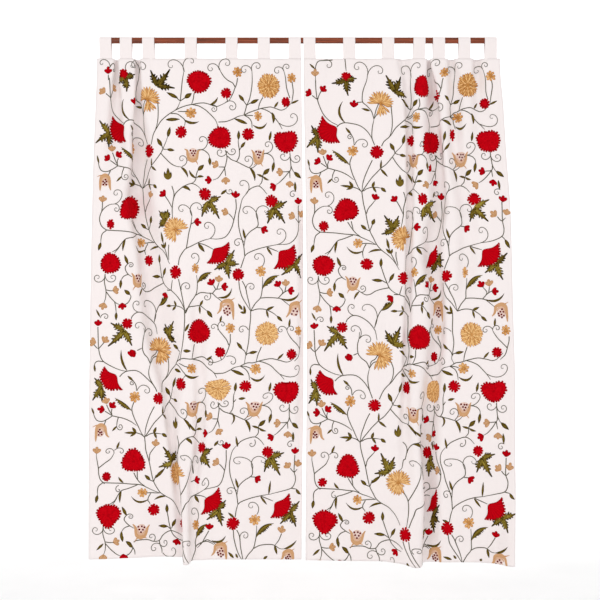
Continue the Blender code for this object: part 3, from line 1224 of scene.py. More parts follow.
# Leaves of a leaf bud: how far across and down their tips are, and their widths
LEAF_BUD_ROOT = (0.3, 5.4)
LEAF_BUD_LEAVES = ((-3.2, -2.6, 3.4), (3.2, -2.4, 3.4), (0.3, -6.4, 4.2))

# Radii of the small discs, and how far in a cup's lining runs
ROSETTE_HEART_RADIUS = 1.7
MUM_HEART_RADIUS = 1.5
DAISY_HEART_RADIUS = 1.6
CUP_HEART_RADIUS = 4.3
CUP_DOT_RADIUS = 1.05
LINING_SHARE = 0.66
CUP_STEP = 0.7

# A rosette's petals: how many, where they start and end, their width as a share of their reach, and
# the lifts of every other one
ROSETTE_COUNT = 8
ROSETTE_START = 0.6
ROSETTE_PAST = 0.5
ROSETTE_WIDTH = 0.56
ROSETTE_LIFTS = (0.0002, 0.0005)

# How uneven hand work is: least and most shares of a size, or least and most tones
BEAD_SIZES = (0.88, 1.1)
BEAD_SPACING = 0.12
RIM_REACHES = (0.96, 1.04)
ROSETTE_REACHES = (0.88, 1.06)
ROSETTE_TONES = (-0.12, 0.14)
PETAL_REACHES = (0.94, 1.03)
PETAL_TONES = (-0.16, 0.12)
TOOTH_REACHES = (0.9, 1.12)
TOOTH_TONES = (0.25, 0.80)
LOBE_TONES = (-0.16, 0.10)
BUD_REACHES = (0.95, 1.15)
BLOSSOM_WAVE = 0.05
BLOSSOM_MOTTLE = 0.17
FAN_MOTTLE = 0.07

# Rings of petals of each gold flower
MUM_RINGS = [
    PetalRing(0, 360, 30, 5.0, 12.2, 2.5, 0.0002),
    PetalRing(6, 366, 22, 2.6, 9.2, 2.3, 0.0009),
    PetalRing(0, 360, 12, 0.2, 5.6, 2.0, 0.0015),
]
SPREAD_PETALS = [
    PetalRing(186, 376, 15, 1.2, 13.2, 2.4, 0.0002),
    PetalRing(196, 368, 11, 0.4, 8.8, 2.0, 0.0009),
    PetalRing(22, 22, 1, 1.5, 10.0, 2.2, 0.0003),
    PetalRing(46, 106, 5, 1.2, 13.0, 2.4, 0.0002),
    PetalRing(60, 100, 3, 0.4, 7.4, 2.0, 0.0009),
]
ROUND_PETALS = [
    PetalRing(188, 378, 15, 1.2, 14.2, 2.6, 0.0002),
    PetalRing(196, 370, 11, 0.4, 9.4, 2.2, 0.0009),
    PetalRing(32, 108, 7, 1.2, 15.0, 2.6, 0.0002),
    PetalRing(42, 104, 5, 0.4, 9.0, 2.2, 0.0009),
]
LEANING_PETALS = [
    PetalRing(172, 350, 15, 1.2, 13.2, 2.4, 0.0002),
    PetalRing(180, 345, 11, 0.4, 8.8, 2.0, 0.0009),
    PetalRing(94, 160, 6, 1.2, 13.2, 2.4, 0.0002),
    PetalRing(100, 165, 5, 0.4, 7.6, 2.0, 0.0009),
    PetalRing(20, 70, 3, 0.8, 7.0, 2.2, 0.0004),
]
NEARLY_ROUND_PETALS = [
    PetalRing(170, 362, 16, 1.2, 13.0, 2.4, 0.0002),
    PetalRing(175, 360, 12, 0.4, 8.8, 2.0, 0.0009),
    PetalRing(60, 160, 9, 1.2, 12.8, 2.4, 0.0002),
    PetalRing(30, 165, 8, 0.4, 7.6, 2.0, 0.0009),
]

# Forms of the cups
SIX_DOTS = [(-2.1, -3.2), (1.0, -3.4), (3.2, -2.4), (-1.3, -0.6), (1.9, -0.2), (0.2, 2.0)]
BELL = CupForm(
    [(-4.6, 9.0), (-4.5, 4), (-4.4, -1), (-3.2, -5.0), (0.4, -6.8), (3.6, -5.2), (4.9, -1), (5.4, 4),
     (6.4, 8.6)],
    [[(0.0, -7.0), (-4.4, -6.9), (-8.2, -5.8)]],
    [(0.7, -2.5), (-1.6, -0.6), (1.8, -0.6), (0.0, 0.9), (-1.4, 2.6), (1.7, 2.6)],
)
FLARED_BELL = CupForm(
    [(-4.9, 9.6), (-4.6, 4), (-4.2, -1), (-3.0, -4.8), (1.2, -6.6), (4.2, -4.8), (5.2, 0), (6.4, 3.6),
     (8.6, 5.6)],
    [[(0.4, -6.8), (-4.4, -6.4), (-8.0, -4.8)]],
    [(-0.8, -2.2), (-2.2, -0.4), (1.0, 0.3), (-0.6, 0.9), (-1.9, 3.0), (1.2, 2.7)],
)
GOBLET = CupForm(
    [(-7.0, -5.8), (-4.8, -2.6), (-4.4, 1.6), (-3.4, 5.0), (0, 6.6), (3.6, 5.2), (5.2, 1.4), (6.0, -1.6),
     (7.8, -4.6)],
    [[(-1.0, 6.6), (-3.6, 8.0), (-5.5, 11.2)], [(1.0, 6.8), (3.4, 7.2), (5.6, 8.0)]],
    SIX_DOTS,
)
TUMBLER = CupForm(
    [(-7.8, -6.0), (-5.2, -4.4), (-4.8, -0.4), (-3.4, 3.8), (0.6, 5.2), (3.8, 3.6), (5.0, -1), (5.8, -4),
     (8.6, -5.4)],
    [[(2.0, 5.0), (4.0, 6.8), (5.2, 9.4)], [(-2.4, 4.8), (-4.0, 5.0), (-5.4, 5.6)]],
    [(-1.9, -4.6), (1.0, -4.0), (3.2, -4.2), (-0.6, -1.9), (2.2, -1.7), (0.8, 0.3)],
)
TULIP = CupForm(
    [(-6.8, -6.2), (-4.8, -3), (-4.2, 1), (-2.8, 5), (-0.3, 6.4), (2.4, 5), (4.0, 1), (4.6, -3), (5.6, -6.3)],
    [[(0.0, 6.4), (2.4, 7.6), (4.2, 10.4)], [(-1.2, 6.2), (-3.0, 7.6), (-5.0, 9.2)]],
    [(-2.3, -4.4), (0.4, -4.0), (2.2, -3.8), (-0.8, -1.6), (1.3, -1.0), (0.3, 1.6)],
)
HOODED_BELL = CupForm(
    [(-8.8, 6.6), (-6.2, 3.4), (-5.2, -0.6), (-4.6, -4), (-1, -6), (2.2, -6.2), (5.2, -4.4), (6.4, -1),
     (6.9, 5), (7.3, 12.6)],
    [[(1.6, -6.6), (5.6, -7.4), (8.6, -9.2)]],
    [(1.9, -1.3), (0.1, 1.6), (3.2, 1.6), (-2.0, 3.5), (1.1, 4.6), (-1.3, 5.9), (3.7, 5.9), (1.5, 7.8)],
)
WIDE_BELL = CupForm(
    [(-8.8, 8.2), (-5.8, 3.6), (-4.9, -0.6), (-4.0, -4.2), (0, -5.6), (4.2, -5.6), (6.6, -3), (7.6, 2),
     (9.0, 9.4)],
    [[(2.6, -6.0), (7.4, -6.8), (11.2, -8.8)]],
    [(0.3, -0.4), (-1.7, 1.9), (2.0, 2.3), (-3.3, 5.0), (0.9, 5.6)],
)


PLACES = [
    Place(Motif.CHINAR, ((42, 81), (43, 83), (31, 337), (31, 340)), (
        ChinarForm((-0.4, -3.0), [(9.6, -7), (-0.5, 10.8), (-15, 0.3)], -0.2),
        ChinarForm((-0.4, -3.0), [(-15, 0.2), (10.3, -4.5), (1.5, 12.8)], -0.2),
        ChinarForm((3.7, -6.6), [(-10.2, -14.2), (-12.5, 9.3), (11.4, 8.9)]),
        ChinarForm((0.8, -6.6), [(-10.8, -13.8), (-13.3, 11.2), (9.8, 8.9)]),
    )),
    Place(Motif.BLOSSOM, ((40, 73), (42.5, 76), (37.5, 322), (35.5, 325)), (
        oval(8.2, 10.4, 0, (0, 1.1)), oval(9.6, 8.8, 0, (0, 0.5)), oval(9.8, 10.6, 0, (0, 1.6)),
        oval(10.4, 10.4, 0, (0, 2.2)),
    )),
    Place(Motif.CHINAR, ((9.5, 134), (9.5, 139), (9, 388), (7, 391)), (
        ChinarForm((6.9, -1.3), [(-4.8, -13.6), (-7.7, 9.1), (6.2, 14.1)]),
        ChinarForm((4.5, -2), [(-2.4, -13.6), (-7.4, 8.7), (3.8, 13.7)]),
        ChinarForm((4, -0.5), [(-3.8, -10), (-5.3, 12.5), (4.5, 14.5)], 0.05),
        ChinarForm((3.6, -1), [(-2.5, -12), (-4.8, 12.5), (3.6, 14.8)], 0.05),
    )),
    Place(Motif.FAN, ((25, 128), (22.5, 130), (20.5, 380), (18.5, 384)), (
        FanForm((10.6, -2.5), [(-5.1, -13), (-8.9, -0.4), (-5.5, 9.5), (1.6, 13.8), (10.8, 13)]),
        FanForm((10, -2.3), [(-4.1, -14.2), (-9.5, -0.4), (-6.2, 9.2), (3.4, 13.1), (13, 12.3)]),
        FanForm((6.5, -4.6), [(-5.2, -13.4), (-10.2, -4.6), (-7.3, 4.6), (-0.6, 10.3), (13.2, 10)]),
        FanForm((8, -4.6), [(-4.8, -14), (-9.6, -4.6), (-5.9, 5.4), (1.3, 10.6), (12.6, 10)]),
    )),
    Place(Motif.ROSETTE, ((48, 147), (48, 151), (46, 397), (44, 401)), (oval(10.4, 11),)),
    Place(Motif.BLOSSOM, ((74, 150), (72, 152), (70, 399), (68, 405)), (
        oval(15, 12.6), oval(12.8, 12.8), oval(11.4, 11.4), oval(12.2, 11.8),
    )),
    Place(Motif.DAISY, ((78, 97), (78, 101), (76, 349), (74, 353)), (
        DaisyForm((-1.5, 2.5), SPREAD_PETALS, -0.05), DaisyForm((-1.5, 2.5), SPREAD_PETALS, -0.05),
        DaisyForm((-1.2, 2.0), ROUND_PETALS), DaisyForm((-1.2, 2.0), ROUND_PETALS),
    )),
    Place(Motif.CHINAR, ((90, 80), (92, 86), (88, 333), (89, 339)), (
        ChinarForm((-3.5, 6.0), [(-10, -10), (9.5, -10.8), (14.2, 8.1)], -0.25),
        ChinarForm((-1.6, 6.0), [(-9.7, -10.8), (5.3, -9.6), (14.2, 10.4)], -0.25),
        ChinarForm((-3.6, 3.5), [(-6.7, -8.8), (4.8, -11.9), (7.2, 9.6)]),
        ChinarForm((-3.3, 5), [(-10.4, -8.8), (4.9, -12.7), (14.4, 6.8)]),
    )),
    Place(Motif.BLOSSOM, ((41, 208), (41, 210), (45, 462), (41.5, 466)), (
        Blossom((15.5, 13.6, 9.8, 15, 13, 12.9, 12.3, 16.8)),
        Blossom((12.2, 11.6, 10.2, 15.2, 12.1, 11.3, 12.2, 11.7)),
        Blossom((11.6, 13.1, 10.5, 12.5, 12.5, 11.8, 13.3, 11)),
        Blossom((11.3, 13.3, 11.4, 12.3, 10.5, 10, 13.1, 11)),
    )),
    Place(Motif.BLOSSOM, ((19.5, 263), (17, 265), (19.5, 516), (19, 521)), (
        Blossom((10.9, 11, 10.6, 11, 9.9, 10.4, 10.6, 9.7)),
        Blossom((11.5, 11.1, 11, 11, 11, 10.8, 9.4, 10.9)),
        Blossom((12.8, 11, 13.5, 10.7, 11.9, 12.3, 11.2, 12.7)),
        Blossom((12.9, 10.8, 13.5, 11, 12, 12.3, 11.5, 12.1)),
    )),
    Place(Motif.CUP, ((12, 182), (10.5, 184), (12, 432), (9.5, 434)), (
        BELL._replace(stretch=(0.95, 0.95)), BELL, FLARED_BELL, FLARED_BELL,
    )),
    Place(Motif.CUP, ((48, 279), (46, 282), (52, 532), (51, 535)), (
        GOBLET, GOBLET, GOBLET._replace(stretch=(1.12, 1.08)), GOBLET._replace(stretch=(1.1, 1.08)),
    )),
    Place(Motif.BLOSSOM, ((66, 260), (60.5, 264), (65, 512), (63, 517)), (
        oval(8.8, 10.5), oval(12.4, 11), oval(11.5, 11.5), oval(12, 12),
    )),
    Place(Motif.BLOSSOM, ((19, 224), (18, 226), (18, 477), (16.5, 482)), (
        oval(7, 9.6), oval(9.5, 10.5), oval(8.7, 8.9), oval(8.7, 8.7),
    )),
    Place(Motif.ROSETTE, ((57, 242), (52, 243), (54, 494), (51.5, 499)), (oval(9.4, 9.2),)),
    Place(Motif.CHINAR, ((88, 218), (84, 225), (82, 457), (80, 464)), (
        ChinarForm((2.3, 1.3), [(-3.5, -7.5), (6.2, -8.7), (-7.7, 9.8)]),
        ChinarForm((4.5, 4.4), [(-5.5, -9.8), (9, -9.3), (-8.5, 9)]),
        ChinarForm((4, 6.7), [(-7.6, -9.5), (11, -4.8), (-12, 11.3)], 0.08),
        ChinarForm((3.6, 7.2), [(-5.2, -11.4), (8.6, -7.9), (-11.4, 9)], 0.05),
    )),
    Place(Motif.DAISY, ((97, 229), (96, 238), (93, 475), (91.5, 481)), (
        DaisyForm((1.6, 0.4), LEANING_PETALS, -0.02), DaisyForm((1.6, 0.4), LEANING_PETALS, -0.05),
        DaisyForm((1.6, 0.4), LEANING_PETALS), DaisyForm((1.0, 0.6), NEARLY_ROUND_PETALS),
    )),
    Place(Motif.BLOSSOM, ((98, 272), (99, 278), (98, 526), (102, 531)), (
        oval(11, 13), oval(15, 12.4), oval(12, 12.5), oval(11.4, 13.5),
    )),
    Place(Motif.BLOSSOM, ((128, 81), (124, 86), (121, 331), (121, 337)), (
        Blossom((12.9, 12.4, 12.5, 11.4, 11.8, 11.7, 10.7, 11.5)),
        Blossom((12, 12.5, 11, 10, 8, 9.5, 11.5, 10)),
        Blossom((12.8, 13.2, 12, 13, 11.5, 11.2, 12.3, 10.8)),
        Blossom((14.8, 14, 12, 13.9, 14.2, 12, 12.9, 11.1)),
    )),
    Place(Motif.BLOSSOM, ((155.5, 93), (152, 95), (143.5, 352), (143, 357)), (
        oval(10, 10.6), oval(15, 11.5), oval(9.6, 9.8), oval(7, 9.4),
    )),
    Place(Motif.ROSETTE, ((167, 72), (162, 72), (153.5, 328), (147, 330)), (
        oval(9.6, 10.4, -0.1), oval(10, 9, -0.12), oval(9.6, 9.8), oval(8.4, 9.2),
    )),
    Place(Motif.MUM, ((198, 86), (193, 85), (190, 333.5), (188.5, 334)), (
        Blossom((11.6, 12.4, 12.8, 12.0, 11.4, 12.4, 13.0, 12.4), -0.12),
        Blossom((13.6, 12.8, 12.6, 12.4, 12.6, 12.4, 12.8, 12.8), -0.16), oval(24.4, 24.6, 0.06),
        oval(23.4, 26),
    )),
    Place(Motif.BLOSSOM, ((215, 102), (212, 103), (215, 354), (213.5, 352)), (
        oval(8, 9.8), oval(10.5, 10), oval(9.6, 10.5), oval(10, 10),
    )),
    Place(Motif.ROSETTE, ((221, 78), (221, 76), (223, 331), (223, 330)), (
        oval(7.8, 10, -0.08), oval(9.8, 10, -0.08), oval(11, 9), oval(8.4, 10.2),
    )),
    Place(Motif.ROSETTE, ((120, 113), (120, 117), (113, 368), (112, 373)), (
        oval(10.8, 10.6, -0.02), oval(8, 10), oval(9.8, 9.8), oval(10, 8.6),
    )),
    Place(Motif.ROSETTE, ((187, 116), (182, 117), (179.5, 369), (179.5, 368)), (
        oval(7.4, 10, -0.06), oval(12.6, 10, -0.1), oval(10.8, 10.8, 0.06), oval(10.8, 10.4, 0.04),
    )),
    Place(Motif.BLOSSOM, ((110, 132), (113, 140), (100.5, 384), (105, 388)), (
        oval(11, 11.8), oval(10.6, 10.6), oval(11.8, 12.2), oval(9, 12),
    )),
    Place(Motif.BLOSSOM_OVER_MUM, ((148, 138), (139, 142), (142, 388.5), (143, 391)), (
        Blossom((12.1, 12.4, 10.6, 10.9, 11.5, 10.6, 11.8, 12.4)),
        Blossom((12.2, 12.5, 10.2, 13.7, 11, 12.6, 11.4, 13.5)),
        Blossom((13.5, 12.1, 12.5, 10.4, 14.5, 11.3, 9, 12.9), 0.04),
        Blossom((10, 12, 13, 10, 8, 9, 10.6, 11), 0.02),
    )),
    Place(Motif.BLOSSOM, ((177, 134), (175, 134), (169.5, 386), (170, 386)), (
        oval(12, 11.4), oval(6, 11.8), oval(11.4, 11.4), oval(11.6, 11.4),
    )),
    Place(Motif.BLOSSOM, ((213.5, 141), (214, 141), (211, 391), (209, 391)), (
        Blossom((13.1, 12.4, 12.2, 10.9, 11.2, 11.8, 9, 13.5)),
        Blossom((11.7, 12, 11.2, 11.9, 12.5, 12.6, 10.6, 13.1)),
        Blossom((13.5, 12.1, 12.2, 11.7, 13.5, 12.2, 8.6, 13.2)),
        Blossom((12.9, 11.1, 10.6, 10.6, 12.6, 12.6, 9, 14.6)),
    )),
    Place(Motif.CUP, ((121, 155), (116, 160), (114, 408), (111.5, 414)), (
        TUMBLER, TUMBLER, TUMBLER._replace(stretch=(1.05, 1.12)), TUMBLER._replace(stretch=(1, 1.1)),
    )),
    Place(Motif.CUP, ((187, 156), (184, 158), (179.5, 408), (179.5, 408)), (
        TULIP, TULIP._replace(stretch=(1.45, 1)), TULIP._replace(stretch=(1.35, 1)),
        TULIP._replace(stretch=(1.25, 0.95)),
    )),
    Place(Motif.BLOSSOM, ((133, 194), (126, 199), (128, 448), (138.5, 453)), (
        oval(11.8, 12), oval(9, 11.6), oval(9.4, 11.4), oval(9.6, 11.8),
    )),
    Place(Motif.CHINAR, ((140, 207), (134, 209), (133, 457), (143, 465)), (
        ChinarForm((-3.5, -5.7), [(8.7, -10.7), (-13.3, 9.7), (3.8, 11.8)]),
        ChinarForm((-5.8, -2.2), [(11.3, -8.8), (11.3, 12.2), (-8.5, 11.8)]),
        ChinarForm((-4, -3), [(7.4, -9), (5.2, 10.8), (-4, 7.8)]),
        ChinarForm((-3, -4.5), [(3, -9), (-3.3, 12), (8, 6)]),
    )),
    Place(Motif.BLOSSOM, ((199, 201), (195, 199), (195.5, 452), (194, 450)), (
        oval(12.2, 12.4), oval(14, 11.6), oval(10.8, 11.4), oval(9.6, 10.6),
    )),
    Place(Motif.CHINAR, ((203, 212), (200, 210), (203, 461), (201, 462)), (
        ChinarForm((-3.5, -4.4), [(11.5, -10.9), (-12, 11.4), (5.6, 11.4)]),
        ChinarForm((-5, -2), [(10.3, -10.5), (-10.5, 11.4), (8.4, 11.4)]),
        ChinarForm((-4.4, -4), [(9, -8.6), (-10.5, 11.2), (5.6, 14.5)]),
        ChinarForm((-3.3, -5.5), [(9.9, -9.4), (-8.5, 9), (6.7, 12.9)]),
    )),
    Place(Motif.FAN, ((142, 254), (142, 256), (140, 502), (147, 500)), (
        FanForm((-5.5, -5), [(9.5, -12.1), (10.4, -5.4), (7.9, 2.9), (3.6, 8.6), (-5.9, 9.8), (-12.5, 8.8)]),
        FanForm((-1.6, -2.9), [(5.1, -11.7), (6.6, -3.8), (5.1, 4.6), (-1, 10), (-10, 11.5)]),
        FanForm((-6.4, -2.8), [(7.1, -14.5), (10.3, -3.8), (8.2, 5.8), (-0.6, 10.8), (-10.2, 12.3)]),
        FanForm((-3, -2.8), [(4, -12), (6, -3.8), (4.6, 5.6), (-1, 10), (-8, 11)]),
    )),
    Place(Motif.CHINAR, ((152, 264), (150, 262), (150, 512), (151, 517)), (
        ChinarForm((-3, -1), [(5.2, -14.2), (-15, 5.8), (0, 14.6), (10, 0)]),
        ChinarForm((-3.5, -1), [(8.4, -10), (-9.7, 11.5), (10, -2.3), (8.4, 4.5)]),
        ChinarForm((-2.8, -2), [(4.6, -11.5), (-14.4, 8), (1.4, 14.6)]),
        ChinarForm((-5.2, -2), [(4.4, -14.2), (-2.2, 14.2), (4.5, 3)], -0.1),
    )),
    Place(Motif.FAN, ((209, 257), (209, 255), (210, 507), (211, 507)), (
        FanForm((-6.9, -5.6), [(7.9, -12.6), (10.1, -2.9), (8.3, 6), (0.8, 11.4), (-12.5, 11.5)]),
        FanForm((-7, -5), [(9.3, -12.6), (10.6, -2.9), (7.6, 6.4), (-1.6, 11.3), (-12.5, 11.3)]),
        FanForm((-6.3, -3.4), [(7.8, -13.4), (10.3, -2.1), (6.1, 8), (-2, 11.4), (-10.5, 11.1)]),
        FanForm((-7.1, -4.8), [(6.3, -13), (10, -1.3), (7.1, 6.3), (-1, 10.4), (-11.1, 9.6)]),
    )),
    Place(Motif.CHINAR, ((219, 266), (217, 266), (221, 513), (221, 514)), (
        ChinarForm((-2.3, -1.8), [(10.8, -12.5), (-15, 9), (9.2, 12)]),
        ChinarForm((-2.4, -1.8), [(9.5, -13.3), (-13.5, 6.7), (4.5, 13.6)]),
        ChinarForm((-2, 0), [(7.5, -11.4), (-11.7, 11.3), (4.2, 14.4)]),
        ChinarForm((-3.3, -0.2), [(10.9, -5.2), (-14, 9.4), (2.8, 14)]),
    )),
    Place(Motif.BLOSSOM, ((161, 274.5), (157, 276), (162, 524), (163, 526)), (
        oval(11.4, 12), oval(13, 11.4, 0, (4, 0)), oval(13, 12.6), oval(11.6, 13.2),
    )),
    Place(Motif.ROSETTE, ((118, 268), (115, 272), (124, 525), (130, 530)), (
        oval(6.2, 9.4, -0.04), oval(9, 9, 0, (1, 0)), oval(7.4, 10, -0.06), oval(9, 9),
    )),
    Place(Motif.ROSETTE, ((183.5, 271), (183, 272), (184, 520), (184.5, 520.5)), (
        oval(10.4, 10.2, 0.04), oval(5.4, 10.4), oval(11.4, 10.6), oval(11, 11),
    )),
    Place(Motif.CUP, ((149, 307), (147, 309), (149, 550), (149, 552)), (
        HOODED_BELL, HOODED_BELL._replace(stretch=(0.72, 1)), HOODED_BELL._replace(stretch=(0.92, 0.9)),
        HOODED_BELL._replace(stretch=(0.84, 0.85)),
    )),
    Place(Motif.CUP, ((218, 309), (218, 310), (217, 556), (214, 556)), (
        WIDE_BELL, HOODED_BELL._replace(stretch=(0.95, 0.9)), HOODED_BELL._replace(stretch=(0.8, 0.72)),
        WIDE_BELL._replace(stretch=(1.05, 0.8)),
    )),
    Place(Motif.KNOT, ((75, 194), (70, 197), (67, 444), (69, 448))),
    Place(Motif.RED_BUD, ((187, 229.5), (186, 228), (186, 479), (186.5, 478))),
    Place(Motif.RED_BUD, ((121, 222), (120, 227), (124, 480), (125, 484))),
    Place(Motif.RED_BUD, ((163.5, 195), (152, 196), (154, 446), (151, 447))),
    Place(Motif.RED_BUD, ((226, 201), (224, 199), (223, 451), (222, 452))),
    Place(Motif.LEAF_BUD, ((96, 174), (94.5, 181), (94, 424), (92, 431))),
    Place(Motif.KNOT, ((98, 212), (97, 219), (95.5, 457), (97, 463.5))),
    Place(Motif.KNOT, ((107, 313), (110, 312), (118, 564), (125, 566))),
    Place(Motif.KNOT, ((173.5, 311), (175, 311), (173, 563), (177, 561))),
    Place(Motif.KNOT, ((61.5, 187), (56.5, 192), (56, 438), (54, 442))),
    Place(Motif.KNOT, ((70, 115), (70, 119), (61, 364), (63, 368))),
    Place(Motif.KNOT, ((109.5, 101), (111, 109), (100, 352), (105, 358))),
    Place(Motif.KNOT, ((176, 105), (173, 104), (169, 354), (168, 354))),
    Place(Motif.KNOT, ((173, 115), (172, 116), (164, 366), (166, 366))),
    Place(Motif.KNOT, ((155.5, 150), (148, 153), (144, 402), (145, 406))),
    Place(Motif.KNOT, ((218.5, 154), (215, 153), (214, 405), (212, 403))),
    Place(Motif.KNOT, ((66, 229), (64, 231), (65, 483), (64, 486))),
    Place(Motif.KNOT, ((15, 97), (13.5, 99), (9.5, 347), (9, 350))),
    Place(Motif.KNOT, ((52, 65), (54, 67), (47, 323), (46, 326))),
    Place(Motif.KNOT, ((72, 67), (76, 71), (63, 335), (60, 341))),
    Place(Motif.KNOT, ((90, 121), (91, 128.5), (88, 371), (90, 375))),
    Place(Motif.KNOT, ((100, 200), (98, 205), (99, 450), (100, 455))),
]

